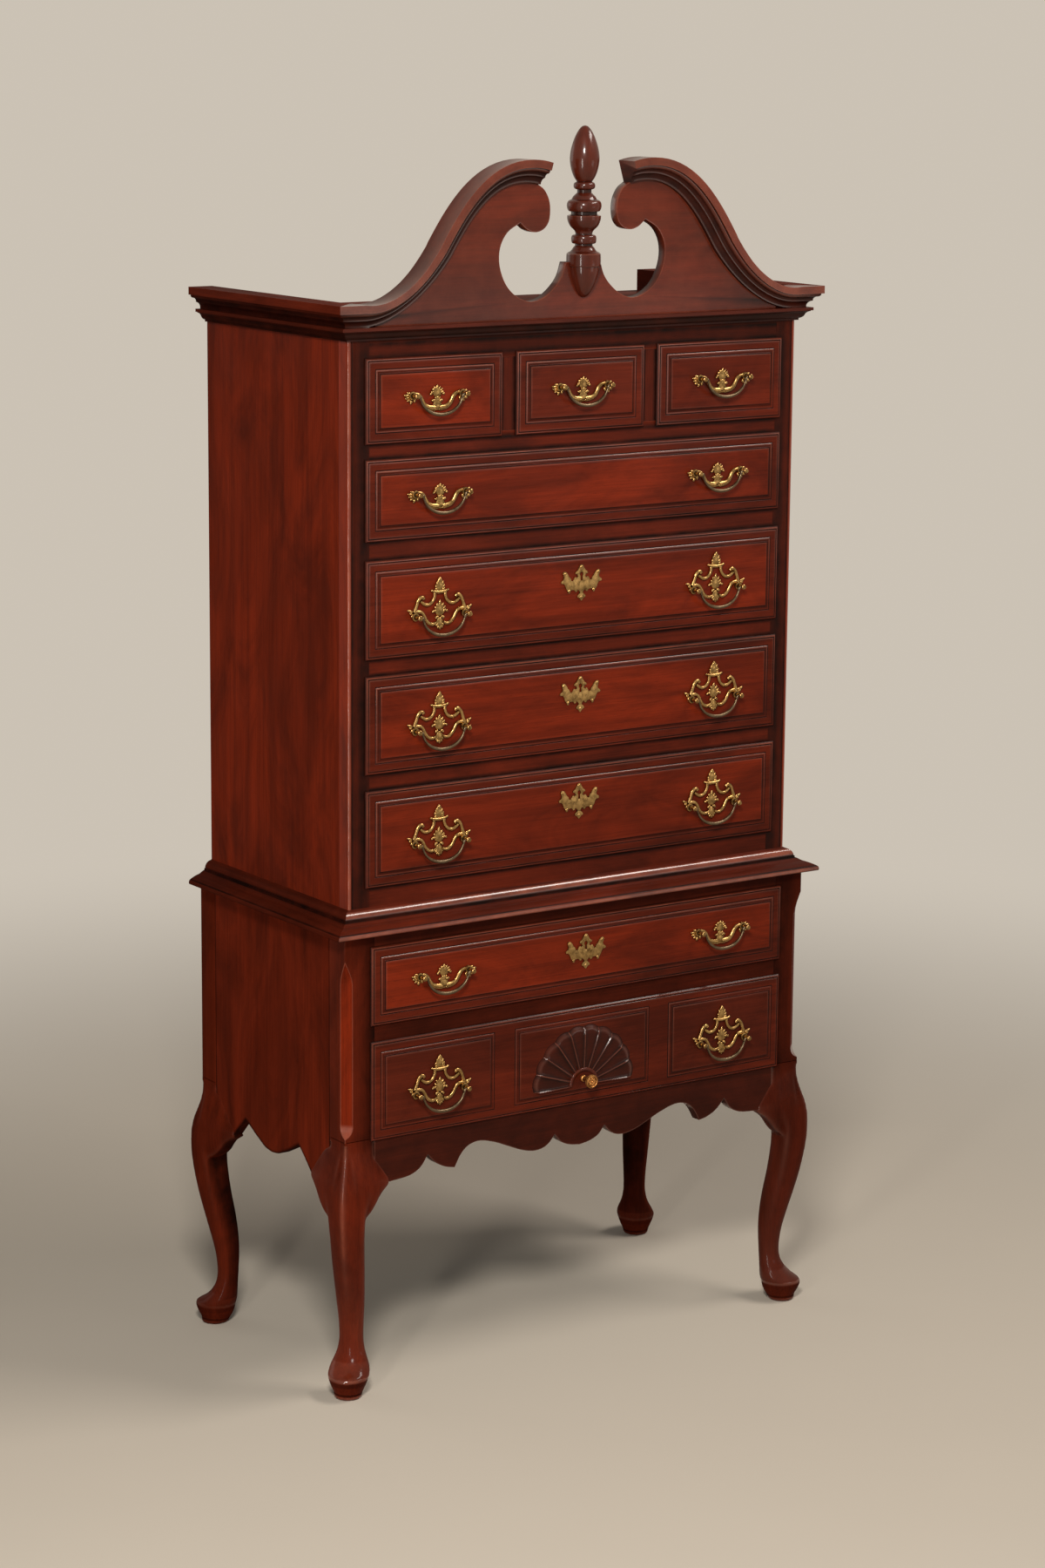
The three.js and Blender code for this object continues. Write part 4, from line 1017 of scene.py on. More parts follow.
def leg_shape():
    """Foot, shaft and knee with their two brackets, for the corner (0, 0) with the case towards +x and +y."""
    part = new_shape()
    rings = []
    for level, out, inn, half, outer, inner in smooth_run(LEG, 3):
        ring = []
        for index in range(LEG_SIDES):
            turn = index / LEG_SIDES * 2 * pi
            power = 2 / (outer if cos(turn) < 0 else inner)
            along = (inn - out) / 2 + (inn + out) / 2 * (1 if cos(turn) > 0 else -1) * abs(cos(turn)) ** power
            across = half * (1 if sin(turn) > 0 else -1) * abs(sin(turn)) ** power
            ring.append(Vector(((along + across) / sqrt(2), (along - across) / sqrt(2), level * APRON_LOW)))
        rings.append(ring)
    loft(part, rings)
    for along_x, reach in ((True, BRACKET_FRONT), (False, BRACKET_SIDE)):
        rings = []
        for share, bulge, flare, hang in smooth_run(BRACKET, 5):
            swell = BRACKET_BULGE * bulge
            high, low = APRON_LOW + BRACKET_RISE * flare, APRON_LOW - BRACKET_HANG * hang
            face = smooth_run([(1.5, high + 6), (0.2, high), (-swell * 0.55, (high + APRON_LOW) / 2),
                               (-swell * 0.97, APRON_LOW + 4), (-swell, (APRON_LOW + low) / 2),
                               (-swell * 0.72, low)], 4)
            ring = [*face, *map(Vector, ((6, low - 0.5), (BRACKET_DEPTH, low), (BRACKET_DEPTH, APRON_LOW),
                                         (3, APRON_LOW + 4), (3, high)))]
            rings.append([Vector((share * reach, p.x, p.y) if along_x else (p.x, share * reach, p.y))
                          for p in ring])
        loft(part, rings)
    middle = Matrix.Translation((POST_WIDTH / 2, POST_DEPTH / 2, LEG_JOIN - 5))
    bmesh.ops.create_cube(part, size=1, matrix=middle @ Matrix.Diagonal((POST_WIDTH, POST_DEPTH, 90, 1)))
    bmesh.ops.recalc_face_normals(part, faces=part.faces)
    mesh = bpy.data.meshes.new("leg_scratch")
    part.to_mesh(mesh)
    part.free()
    obj = bpy.data.objects.new("leg_scratch", mesh)
    bpy.context.scene.collection.objects.link(obj)
    remesh = obj.modifiers.new("skin", "REMESH")
    remesh.mode, remesh.voxel_size, remesh.adaptivity = "VOXEL", LEG_VOXEL, 0.0
    bpy.context.view_layer.update()
    skinned = obj.evaluated_get(bpy.context.evaluated_depsgraph_get()).to_mesh()
    whole = new_shape()
    whole.from_mesh(skinned)
    bpy.data.objects.remove(obj)
    bpy.data.meshes.remove(mesh)
    for turn in range(LEG_SMOOTHING):
        soft = [v for v in whole.verts if v.co.z < (LEG_JOIN - 8 if turn > 1 else 600)]
        bmesh.ops.smooth_vert(whole, verts=soft, factor=0.5, use_axis_x=True, use_axis_y=True,
                              use_axis_z=turn > 1)
    bmesh.ops.bisect_plane(whole, geom=[*whole.verts, *whole.edges, *whole.faces], dist=0.001,
                           plane_co=(0, 0, LEG_JOIN), plane_no=(0, 0, 1), clear_outer=True)
    for vert in whole.verts:
        vert.co.z = max(0.0, vert.co.z)
    rim = [edge for edge in whole.edges if edge.is_boundary]
    bmesh.ops.edgeloop_fill(whole, edges=rim)
    return whole


def shade_inside(bm, inward):
    """Paints shade on the side of a rear leg that faces in under the case, and takes most of the rubbing and
    painted highlight off the leg and its foot.
    """
    _, hollow, worn_and_highlit = finish_layers(bm)
    bm.normal_update()
    for vert in bm.verts:
        if 50 < vert.co.z < LEG_JOIN:
            facing = min(1, max(0, 1.6 * vert.normal.dot(inward))) * min(1, 0.4 + vert.co.z / 300)
            vert[hollow] = max(vert[hollow], facing)
            vert[worn_and_highlit] *= 0.3 * (1 - facing)
        elif vert.co.z <= 50:
            vert[worn_and_highlit] *= 0.3


def post_shape(bm, front):
    """The square post above a knee, with the hollow-ended chamfer on a front one."""
    part = block(0, POST_WIDTH, 0, POST_DEPTH, LEG_JOIN - 1, LOWER_TOP)
    if front:
        corner = [e for e in part.edges if all(v.co.x < 1 and v.co.y < 1 for v in e.verts)]
        bmesh.ops.bevel(part, geom=corner, offset=CORNER_CUT[754], offset_type="OFFSET", affect="EDGES",
                        segments=1, profile=0.5, material=-1)
        for height in CORNER_CUT:
            bmesh.ops.bisect_plane(part, geom=[*part.verts, *part.edges, *part.faces], dist=0.001,
                                   plane_co=(0, 0, height), plane_no=(0, 0, 1))
        for vert in part.verts:
            size = next((d for z, d in CORNER_CUT.items() if abs(vert.co.z - z) < 0.01), None)
            if size and vert.co.x + vert.co.y < 2:
                vert.co.x, vert.co.y = (size, 0) if vert.co.x > vert.co.y else (0, size)
        bmesh.ops.recalc_face_normals(part, faces=part.faces)
        chamfer = [face for face in part.faces if face.normal.x < -0.3 and face.normal.y < -0.3]
        tones, _, worn_and_highlit = finish_layers(part)
        # Rings in along the chamfer: warmer stain towards the middle, painted highlight lines near its edges
        # and a painted glint at its foot
        for width, tone, polish in ((0.5, 0.3, 0), (0.7, 0.6, 1), (0.9, 0.95, 0)):
            bmesh.ops.inset_region(part, faces=chamfer, thickness=width, depth=0, use_even_offset=True,
                                   use_boundary=True)
            for vert in {vert for face in chamfer for vert in face.verts}:
                vert[tones], vert[worn_and_highlit] = tone, 1 if vert.co.z < CUT_GLINT_BELOW else polish
        # Painted shade on the post's front beside the drawers
        mark(part, lambda place: place.x > 50 and place.y < 1, glaze=1.0)
    else:
        soften(part, [e for e in part.edges if abs(e.verts[0].co.z - e.verts[1].co.z) > 9], 1.4)
    add_shape(bm, part)


class HighboyLegs(bpy.types.Operator):
    """Shapes the cabriole legs with their knees, brackets and posts"""
    bl_idname = "highboy.legs"
    bl_label = "Cabriole legs"

    def execute(self, context):
        knee = leg_shape()
        mark_relief(knee)
        _, hollow, worn_and_highlit = finish_layers(knee)
        for vert in knee.verts:
            # Painted shade on the knee's inner side under the case, growing towards the top
            if vert.co.z > KNEE_SHADE_START:
                shade = min(1, (vert.co.x - 16) / (POST_WIDTH - 16))
                shade *= min(1, (vert.co.z - KNEE_SHADE_START) / 60)
                vert[hollow] = max(vert[hollow], 0.9 * shade)
            if vert.co.z > LEG_JOIN - 6:
                vert[worn_and_highlit] = 0
            elif vert.co.z < 60:
                vert[worn_and_highlit] = next((rub for low, high, rub in FOOT_HIGHLIGHTS if low < vert.co.z < high), 0.3)
                vert[hollow] = next((held for low, high, held in FOOT_SHADE if low < vert.co.z < high), 0)
        for side in (-1, 1):
            for end in (-1, 1):
                bm = knee.copy()
                post_shape(bm, end < 0)
                corner = Matrix.Translation((side * LOWER_HALF, LOWER_FRONT if end < 0 else DEPTH, 0))
                bmesh.ops.transform(bm, verts=bm.verts, matrix=corner @ Matrix.Diagonal((-side, -end, 1, 1)))
                bmesh.ops.recalc_face_normals(bm, faces=bm.faces)
                lay_grain(bm, "z", 1.9 * side + 3.3 * end, 0.34 if side < 0 else 0.22, keep=True)
                # The right and rear legs are darker all over as painted shade
                hold(bm, "glaze", 0.3 if end > 0 else 0.4 if side > 0 else 0)
                if end > 0:
                    shade_inside(bm, Vector((-side, -1, 0)).normalized())
                name = f"leg_{'front' if end < 0 else 'rear'}_{'left' if side < 0 else 'right'}"
                finish = "leg_cherry" if end < 0 else "rear_leg_cherry"
                finish_piece(name + "_carved", bm, "case", finish, [name], 40, relief=0)
        knee.free()
        return {"FINISHED"}


# Drawers

# Top row: where its outer drawers start and half the middle one; half widths of the rows below
SIDE_START, MIDDLE_HALF, UPPER_LIP, LOWER_LIP = 156, 129, 419, 424
# Pull places: in from the lip's end, on the bottom drawer, and above or below the middle of the front
PULL_INSET, BOTTOM_PULL, SMALL_PULL_RISE, LARGE_PULL_DROP = 138, 293.5, 7, 15.5
RIM, BOTTOM_FIELDS = 17, (-180, -140, 140, 180)
# How warm the stain of a field is, where it is darker than the others; the top row's middle and right fields
# and the bottom drawer's are darker as painted shade where the light falls off
DARKER_FIELDS = {"drawer_1_middle": 0.26, "drawer_1_right": 0.36, "drawer_2": 0.66, "drawer_5": 0.6,
                 "drawer_7": 0.14}
FIELD_WARMTH = 0.72
INSIDE_LIP = 9.8 # from the lip's edge to the part of the front that stands in the frame


def drawer_list():
    """Every drawer as name, x0, x1, z0, z1, front plane, pull places and spans of its fields."""
    rows = []
    for index, (z0, z1, plane) in enumerate(ROWS):
        half = LOWER_LIP if plane else UPPER_LIP
        if index == 0:
            pull = (SIDE_START + half) / 2
            parts = (("1_left", -half, -SIDE_START, (-pull,)), ("1_middle", -MIDDLE_HALF, MIDDLE_HALF, (0,)),
                     ("1_right", SIDE_START, half, (pull,)))
        else:
            pull = BOTTOM_PULL if index == 6 else half - PULL_INSET
            parts = ((str(index + 1), -half, half, (-pull, pull)),)
        for name, x0, x1, pulls in parts:
            ends = (x0 + RIM, *(BOTTOM_FIELDS if index == 6 else ()), x1 - RIM)
            spans = tuple(zip(ends[::2], ends[1::2]))
            rows.append((f"drawer_{name}", x0, x1, z0, z1, plane, pulls, spans, index in (0, 1, 5)))
    return rows


def pull_list():
    """Every bail pull as its drawer, the end of its own name, its place in the front plane and its size."""
    for name, x0, x1, z0, z1, plane, pulls, spans, small in drawer_list():
        height = (z0 + z1) / 2 + (SMALL_PULL_RISE if small else -LARGE_PULL_DROP)
        for pull in pulls:
            where = "" if len(pulls) == 1 else "_left" if pull < 0 else "_right"
            yield name, where, Vector((pull, plane, height)), small


def step_in(bm, face, width, rise):
    """Insets a face and lifts it, in one step of its moulding."""
    bmesh.ops.inset_region(bm, faces=[face], thickness=width, depth=rise, use_even_offset=True,
                           use_boundary=True)


def quarter(width, rise, steps, hollow=False):
    """Steps of a quarter round, or of a quarter hollow, as (across, up)."""
    turns = [step / steps * pi / 2 for step in range(steps + 1)]
    run = [(width * sin(t), rise * (1 - cos(t))) if hollow else (width * (1 - cos(t)), rise * sin(t))
           for t in turns]
    return [(b[0] - a[0], b[1] - a[1]) for a, b in zip(run, run[1:])]


def moulded(bm, face, steps):
    """Works a moulding inwards in steps of (across, up, tone, glaze, wear); glaze gives painted shade and
    wear painted highlight, strongest at top left and least at lower right, as the light falls.
    """
    tones, hollow, worn_and_highlit = finish_layers(bm)
    for across, up, tone, glaze, wear in steps:
        step_in(bm, face, across, up)
        middle = face.calc_center_median()
        for vert in face.verts:
            right = vert.co.x > middle.x
            vert[tones], vert[hollow] = tone, glaze
            vert[worn_and_highlit] = wear * ((0.75 if right else 1) if vert.co.z > middle.z else 0.05 if right else 0.4)


def front_shape(x0, x1, z0, z1, plane, spans, sizes, warm):
    """A lipped front with its thumbnail edge, flat rim and raised fields."""
    part = block(x0, x1, plane - mm(sizes.lip_edge), plane - 0.4, z0, z1)
    lay_grain(part, "x", 0, 0.2)
    # The lip's sides are dark all over as painted shade
    mark(part, everywhere, glaze=1.0)
    face = next(f for f in part.faces if f.normal.y < -0.9)
    proud, thumb, inset = mm(sizes.rim_proud), mm(sizes.thumb), mm(sizes.rim)
    up = proud - mm(sizes.lip_edge) - 0.2
    # Strength of the painted highlight lines, weaker on a front with several fields
    bright = 0.45 if len(spans) > 1 else 0.85
    # Lip steps: painted highlights along its edge, thumbnail and the rim's inner step, and a quirk line of
    # painted shade
    lip = [(1.2, 1.3, 0.25, 0.5, 0.3), (1.2, up - 1.3, 0.25, 0, bright), (thumb - 3.4, 0, 0.25, 0, bright),
           (0.4, -0.5, 0.2, 1, 0), (1.4, 0, 0.2, 1, 0), (0.6, 0.7, 0.2, 0.1, bright),
           (0.7, 0, 0.25, 0.2, 0.4), (2, 0, 0.3, 0.12, 0)]
    moulded(part, face, lip)
    cuts = sorted({x for span in spans for x in span})
    marks = [((x, 0, 0), (1, 0, 0)) for x in cuts]
    marks += [((0, 0, z), (0, 0, 1)) for z in (z0 + inset, z1 - inset)]
    for spot, way in marks:
        faces = [f for f in part.faces if f.normal.y < -0.99
                 and abs(f.calc_center_median().y - plane + proud) < 0.01
                 and all(x0 + 8 < v.co.x < x1 - 8 for v in f.verts)]
        geom = {item for f in faces for item in (f, *f.edges, *f.verts)}
        bmesh.ops.bisect_plane(part, geom=list(geom), dist=0.001, plane_co=spot, plane_no=way)
    rise = mm(sizes.field_proud - sizes.rim_proud)
    # Field moulding: painted shade in two dark lines and over the hollow, and painted highlights on the step
    # and the field's edge
    moulding = [(0.4, -0.3, 0.2, 1, 0), (1.1, 0, 0.2, 1, 0), (0.7, 0.55, 0.3, 0, bright),
                (1.1, 0.05, 0.3, 0, bright)]
    moulding += [(w, r, 0.3, 0.5, 0) for w, r in quarter(mm(sizes.slope) - 5.5, rise - 1, 4, True)]
    moulding += [(0.4, 0, 0.3, 0.9, 0), (1.0, 0, 0.3, 1, 0), (0.7, 0.6, warm * 0.8, 0, 0.55),
                 (0.6, 0.1, warm, 0, 0.3), (2.4, 0, warm, 0, 0)]
    for left, right in spans:
        field = next(f for f in part.faces if f.normal.y < -0.99 and left < f.calc_center_median().x < right
                     and z0 + inset < f.calc_center_median().z < z1 - inset)
        moulded(part, field, moulding)
    grain, away = part.verts.layers.float_vector["grain"], PLANK * (x0 * 0.013 + z0 * 0.0047)
    for vert in part.verts:
        vert[grain] = vert.co / 1000 + away
    return part


class HighboyDrawers(bpy.types.Operator):
    """Makes the drawer fronts with their moulded lips and raised fields"""
    bl_idname = "highboy.drawers"
    bl_label = "Drawer fronts"

    def execute(self, context):
        sizes = context.scene.highboy_front
        for name, x0, x1, z0, z1, plane, pulls, spans, small in drawer_list():
            bm = front_shape(x0, x1, z0, z1, plane, spans, sizes, DARKER_FIELDS.get(name, FIELD_WARMTH))
            board(bm, x0 + INSIDE_LIP, x1 - INSIDE_LIP, plane - 0.6, plane + 12, z0 + INSIDE_LIP,
                  z1 - INSIDE_LIP, "x", x0 * 0.01, 0.2, 0.4)
            finish_piece(f"{name}_face", bm, name, "stained_cherry", [f"{name}_front"], relief=0)
        return {"FINISHED"}


FAN_FACE, FAN_CENTRE, FAN_INNER, FAN_OUTER = LOWER_FRONT - PROUD, 476, 30, 104
FAN_ROWS, FAN_COLUMNS = 16, 10 # of the carving's grid: out along a petal, and across it
PETAL_TIP = 0.86 # share of the petal's length where it starts to round over
RIBBON_RADIUS, RIBBON_HALF = 27.5, 3.2
# Across half a petal, from its crest to the cut beside it: place, rise, painted shade held as glaze, and
# painted highlight
PETAL_PLACES = (0, 0.8, 1.7, 2.9)
PETAL_RISE, PETAL_SHADE = (2.2, 1.7, -0.1, -0.8, -1.6, -1.8), (0, 0.2, 1, 0.8, 0.5, 0.45)
PETAL_HIGHLIGHT = (0.6, 0.4, 0, 0, 0, 0)


class HighboyFan(bpy.types.Operator):
    """Carves the fan of ten petals on the bottom drawer"""
    bl_idname = "highboy.fan"
    bl_label = "Carved fan"

    petals: IntProperty(name="Petals", description="Petals in the half circle", default=10, min=4)

    def execute(self, context):
        columns = self.petals * FAN_COLUMNS
        bm = new_shape()
        grain = bm.verts.layers.float_vector["grain"]
        tones, hollow, worn_and_highlit = finish_layers(bm)
        bmesh.ops.create_grid(bm, x_segments=columns, y_segments=FAN_ROWS, size=1)
        for vert in bm.verts:
            column, reach = round((1 - vert.co.x) / 2 * columns), (vert.co.y + 1) / 2
            ridge, step = divmod(column + FAN_COLUMNS // 2, FAN_COLUMNS)
            step -= FAN_COLUMNS // 2
            far = abs(step)
            radius = FAN_INNER + (FAN_OUTER - FAN_INNER) * reach
            half = pi / self.petals / 2 * radius
            along = (*PETAL_PLACES, (PETAL_PLACES[-1] + half) / 2, half)[far]
            turn = ridge * pi / self.petals + (1 if step > 0 else -1) * along / radius
            radius -= 4.2 * (1 - along / half) ** 2 * reach
            swell = sin(min(reach, PETAL_TIP) / PETAL_TIP * pi / 2)
            rise = 2.6 + 2.4 * swell + PETAL_RISE[far] * (0.5 + reach / 2)
            if reach > PETAL_TIP:
                rise *= sqrt(max(0.0, 1 - ((reach - PETAL_TIP) / (1 - PETAL_TIP)) ** 2)) * 0.96 + 0.04
            vert.co = Vector((radius * cos(turn), FAN_FACE - max(0.25, rise),
                              FAN_CENTRE + radius * sin(turn)))
            vert[grain] = Vector((vert.co.x / 1000, 0.2, vert.co.z / 1000))
            vert[tones], vert[hollow], vert[worn_and_highlit] = 0.1, PETAL_SHADE[far], PETAL_HIGHLIGHT[far]
            # A painted highlight along the scalloped outer edge
            if 0.92 < reach < 0.99:
                vert[worn_and_highlit] = 0.5
        bmesh.ops.recalc_face_normals(bm, faces=bm.faces)
        for rise in (0.2, -1):
            skirt = bmesh.ops.extrude_edge_only(bm, edges=[e for e in bm.edges if e.is_boundary])["geom"]
            for vert in (item for item in skirt if isinstance(item, bmesh.types.BMVert)):
                reach = Vector((vert.co.x, 0, vert.co.z - FAN_CENTRE))
                if rise > 0 and reach.length > 2 * FAN_INNER:
                    vert.co += reach.normalized() * 2 if reach.length > FAN_OUTER - 8 else -Z * 2
                # A dark outline of painted shade round the fan
                vert.co.y, vert[tones], vert[hollow], vert[worn_and_highlit] = FAN_FACE - rise, 0.1, 1, 0
        bmesh.ops.edgeloop_fill(bm, edges=[e for e in bm.edges if e.is_boundary])
        ring = new_shape()
        turns = [step * pi / 16 for step in range(17)]
        path = [(RIBBON_RADIUS * cos(turn), FAN_CENTRE + RIBBON_RADIUS * sin(turn)) for turn in turns]
        strap(ring, path, [RIBBON_HALF] * len(path), 3.4, FAN_FACE - 1.2, 2, 12)
        lay_grain(ring, "x", 0.5, 0.2)
        # The ribbon takes some painted highlight and painted shade
        mark(ring, everywhere, wear=0.2, glaze=0.35)
        add_shape(bm, ring)
        finish_piece("fan_carving", bm, "drawer_7", "carved_cherry", (), 50, relief=0)
        return {"FINISHED"}


# Brass

# Straps as runs with their half widths, and lobes as (root, tip, width), about the middle of the
# posts' line. Runs and lobes that aren't on the middle line are mirrored
LARGE_STRAPS = (
    (((10.5, 39), (10.3, 32), (13, 25), (19, 19.6), (26.5, 18.4), (33, 21.5), (37.5, 25)),
     (2.8, 2.7, 2.8, 3, 3, 2.9, 2)),
    (((30.5, 28.6), (33, 31.3), (37.5, 30.6), (42, 26), (44.6, 19.5), (47, 12.5), (49, 8)),
     (2.4, 2.9, 3.2, 3.1, 2.9, 3.2, 3)),
    (((50, 7), (43, 8.2), (35, 6.2), (30, 0), (26.5, -6.5), (20.5, -12.6), (13.5, -14.6), (6.5, -12)),
     (3, 3.2, 3.1, 2.9, 3, 3.1, 3, 2.4)),
    (((-15.5, 40.5), (-9, 38.6), (0, 37.8), (9, 38.6), (15.5, 40.5)), (1.6, 2.8, 3, 2.8, 1.6)))
LARGE_LOBES = (((0, 40), (0, 58), 7.6), ((3.2, 52), (0.3, 62.5), 2.6), ((5, 48), (5.8, 56), 2.3),
               ((5.6, 44), (9, 50), 2.4), ((5, 41), (9.5, 44.6), 2.3), ((13.5, 40), (18, 41.4), 2.2),
               ((34, 29), (29.6, 28.4), 2.5), ((52, 7.5), (63, 12.6), 2.6), ((53, 6), (59, 6.6), 2.6),
               ((50, 4), (56, 0), 2.5), ((45, 5), (50, -3.5), 2.4), ((0, -2), (0, 20), 8),
               ((0, 14), (0, 25), 3), ((4, 13), (6.6, 20), 2.4), ((6, 9), (10.6, 14.6), 2.4),
               ((6, 6), (12.6, 8.6), 2.4), ((11, 8), (15.8, 4.6), 2.2), ((2, -3), (8.4, -2.6), 2.2),
               ((5, -5), (9, -4), 2.6), ((0, -22), (0, -3), 7.4), ((3, -14), (8.2, -18), 2.5),
               ((2, -17), (5, -22.4), 2.3), ((0, -17), (0, -25), 2.6))
SMALL_STRAPS = (
    (((4, -22), (11, -21.2), (17, -20), (23.4, -16.4), (27.6, -10.4), (31, -4), (36, 0.6), (43, 3)),
     (4.6, 4.6, 4.2, 3.8, 3.5, 3.4, 3.2, 2.6)),)
SMALL_LOBES = (((0, -5), (0, 13), 7.6), ((0, 8), (0, 16), 2.8), ((3.4, 7), (5.6, 13.4), 2.5),
               ((6, 5), (10, 10), 2.5), ((7, 2), (12.4, 5), 2.4), ((10, 2), (14.6, -0.4), 2.2),
               ((0, -13), (0, -2), 5.4), ((4, -10), (11.6, -9.4), 2.8), ((3, -5), (5.6, -6), 2.2),
               ((0, -26), (0, -8), 9), ((4, -22), (7.6, -26), 2.6), ((44, 1), (47, 7), 2.6),
               ((48, 1), (58, 5.4), 2.7), ((52, -1), (64, 1.6), 2.6), ((52, -4), (62, -3.4), 2.4),
               ((50, -6), (58.6, -8.6), 2.6), ((48, -7), (52, -14), 2.6), ((43, -4), (44, -12), 2.4))


def cast_plate(straps, lobes, depth, flat):
    """A pierced plate of straps and leaf lobes."""
    bm = new_shape()
    for points, widths in straps:
        for run in mirrored(points):
            strap(bm, run, widths, flat, depth)
    for root, tip, width in lobes:
        cast_lobe(bm, root, tip, width, flat * 0.86, depth)
    return bm


def cast_lobe(bm, root, tip, width, flat, depth):
    """A lobe with its mirror image, unless it is on the middle line."""
    for side in (1, -1) if root[0] or tip[0] else (1,):
        lobe(bm, (root[0] * side, root[1]), (tip[0] * side, tip[1]), width, flat, depth)


POST = section((0, 23.6), (2.6, 22.9, -0.2), (4.3, 20.6, -0.2), (4.3, 17), (3.4, 15.4, -0.2), (3.1, 9),
               (3.6, 6.6), (6.4, 5.8), (6.8, 4.8), (6.8, 1), (6.8, -0.5), steps=3)
POST_HALF, BAIL_PIVOT = 48, 24 # from the pull's middle to a post, and from the front plane to its pin
BAIL_HALF, BAIL_DROP = 40, 31.5
# The bail's pin and shoulder as (across, up, half thickness), before its round sweep
BAIL_END = ((46.4, 0, 1.5), (43.4, 0, 1.6), (42.2, -0.4, 2.3), (40.6, -2.2, 2.5), (40, -5.5, 1.9))


class HighboyPlates(bpy.types.Operator):
    """Casts the pierced plates and the posts that carry the bails"""
    bl_idname = "highboy.plates"
    bl_label = "Brass plates and posts"

    def execute(self, context):
        flat = mm(context.scene.highboy_brass.thick) / 2
        for name, where, place, small in pull_list():
            face = place.y - PROUD
            straps, lobes = (SMALL_STRAPS, SMALL_LOBES) if small else (LARGE_STRAPS, LARGE_LOBES)
            bm = cast_plate(straps, lobes, face - flat * 0.92, flat)
            bmesh.ops.translate(bm, verts=bm.verts, vec=(place.x, 0, place.z))
            for side in (-1, 1):
                turned(bm, POST, (place.x + side * POST_HALF, face, place.z), -Y, 14)
            finish_piece(f"{name}{where}_plate", bm, name, "cast_brass", (), 40)
        return {"FINISHED"}


class HighboyBails(bpy.types.Operator):
    """Bends the swinging bails"""
    bl_idname = "highboy.bails"
    bl_label = "Bails"

    def execute(self, context):
        half = list(BAIL_END)
        for step in range(2, 13):
            turn = pi / 2 * step / 12
            half.append((BAIL_HALF * cos(turn), -BAIL_DROP * sin(turn), 1.7 + 1.5 * sin(turn) ** 2))
        run = half + [(-x, z, r) for x, z, r in reversed(half[:-1])]
        for drawer, where, place, small in pull_list():
            name = drawer.replace("drawer", "bail") + where
            bm = new_shape()
            strap(bm, [(x + place.x, z + place.z) for x, z, r in run], [r for x, z, r in run], 3,
                  place.y - BAIL_PIVOT, 2, 12)
            finish_piece(name + "_wire", bm, name, "brass_wire", [name], 50)
        return {"FINISHED"}


# Half outlines of the escutcheon and its keyhole, the places of its studs, and its height on each drawer
ESCUTCHEON = ((0, 29), (3, 28), (4.4, 25), (8, 19.4), (11.6, 17), (12.4, 14), (9, 13), (7.4, 9.4), (9.6, 7.6),
              (13, 8.6), (15.4, 5.4), (17.6, 2.4), (20.6, 3.2), (21.8, 6.8), (25, 9.6), (27.6, 14), (31, 18),
              (35, 19), (37.6, 16.6), (36.6, 12.6), (35.4, 9.4), (36.6, 5.6), (40.8, 2.6), (40.4, -0.6),
              (36, -1.4), (33.2, -4.4), (31, -10), (28.6, -13), (26.4, -17.6), (23.6, -17.4), (22.4, -13.8),
              (18.4, -12.6), (14.4, -13.2), (11.6, -16.4), (9, -15.6), (7.6, -13.2), (4.4, -15), (3, -18.6),
              (6.8, -22), (8, -25.4), (4.8, -27), (2.4, -29.6), (0, -32))
KEYHOLE = ((0, 17), (2.6, 15.6), (3.4, 12.6), (2.5, 10), (1.7, 8.6), (2.1, 3), (0, 2.2))
STUDS = ((34, 14.6), (25, -14.4), (0, 25), (0, -26))
ESCUTCHEON_HEIGHTS = {3: 1340, 4: 1151, 5: 968, 6: 712}


class HighboyEscutcheons(bpy.types.Operator):
    """Cuts the four bat-wing escutcheons with their keyholes"""
    bl_idname = "highboy.escutcheons"
    bl_label = "Escutcheons"

    def execute(self, context):
        for number, height in ESCUTCHEON_HEIGHTS.items():
            face = ROWS[number - 1][2] - PROUD
            bm = new_shape()
            rings = []
            for half in (ESCUTCHEON, KEYHOLE):
                run = smooth_run(half, 3)
                rings.append([(p.x, p.y) for p in run] + [(-p.x, p.y) for p in reversed(run[1:-1])])
            slab(bm, rings[0], face + 0.2, face - 2.6, front_place, edge=0.9, holes=[rings[1]], support=0)
            for x, z in STUDS:
                for middle in (x, -x) if x else (x,):
                    lobe(bm, (middle - 2.6, z - 1), (middle + 2.6, z + 1), 2.4, 1.4, face - 2.4)
            bmesh.ops.translate(bm, verts=bm.verts, vec=(1, 0, height))
            finish_piece(f"escutcheon_{number}", bm, f"drawer_{number}", "cast_brass", (), 35)
        return {"FINISHED"}


KNOB_HEIGHT, KNOB_FACE = 487, LOWER_FRONT - PROUD
KNOB = section((0, 27.2), (7.6, 27.8), (8.6, 29.6, 0.3), (11.4, 27.2, -0.35), (12, 24.4, -0.15),
               (8.4, 20, -0.25), (4.2, 15.6, 0.2), (4, 8), (4.3, 4.6), (5.8, 3, 0.2), (6.2, 2), (6.2, -0.5),
               steps=4)


class HighboyKnob(bpy.types.Operator):
    """Turns the small brass knob and chases its rosette"""
    bl_idname = "highboy.knob"
    bl_label = "Knob"

    def execute(self, context):
        bm = new_shape()
        turned(bm, KNOB, (0, KNOB_FACE, KNOB_HEIGHT), -Y, 36)
        for petal in range(8):
            root, tip = ((far * cos(petal * pi / 4), KNOB_HEIGHT + far * sin(petal * pi / 4))
                         for far in (1.6, 7.4))
            lobe(bm, root, tip, 2, 1.2, KNOB_FACE - 27.6)
        lobe(bm, (-2, KNOB_HEIGHT), (2, KNOB_HEIGHT), 2, 1.8, KNOB_FACE - 28)
        finish_piece("knob_turned", bm, "drawer_7", "bright_brass", ["knob"], 40)
        return {"FINISHED"}


# Stage

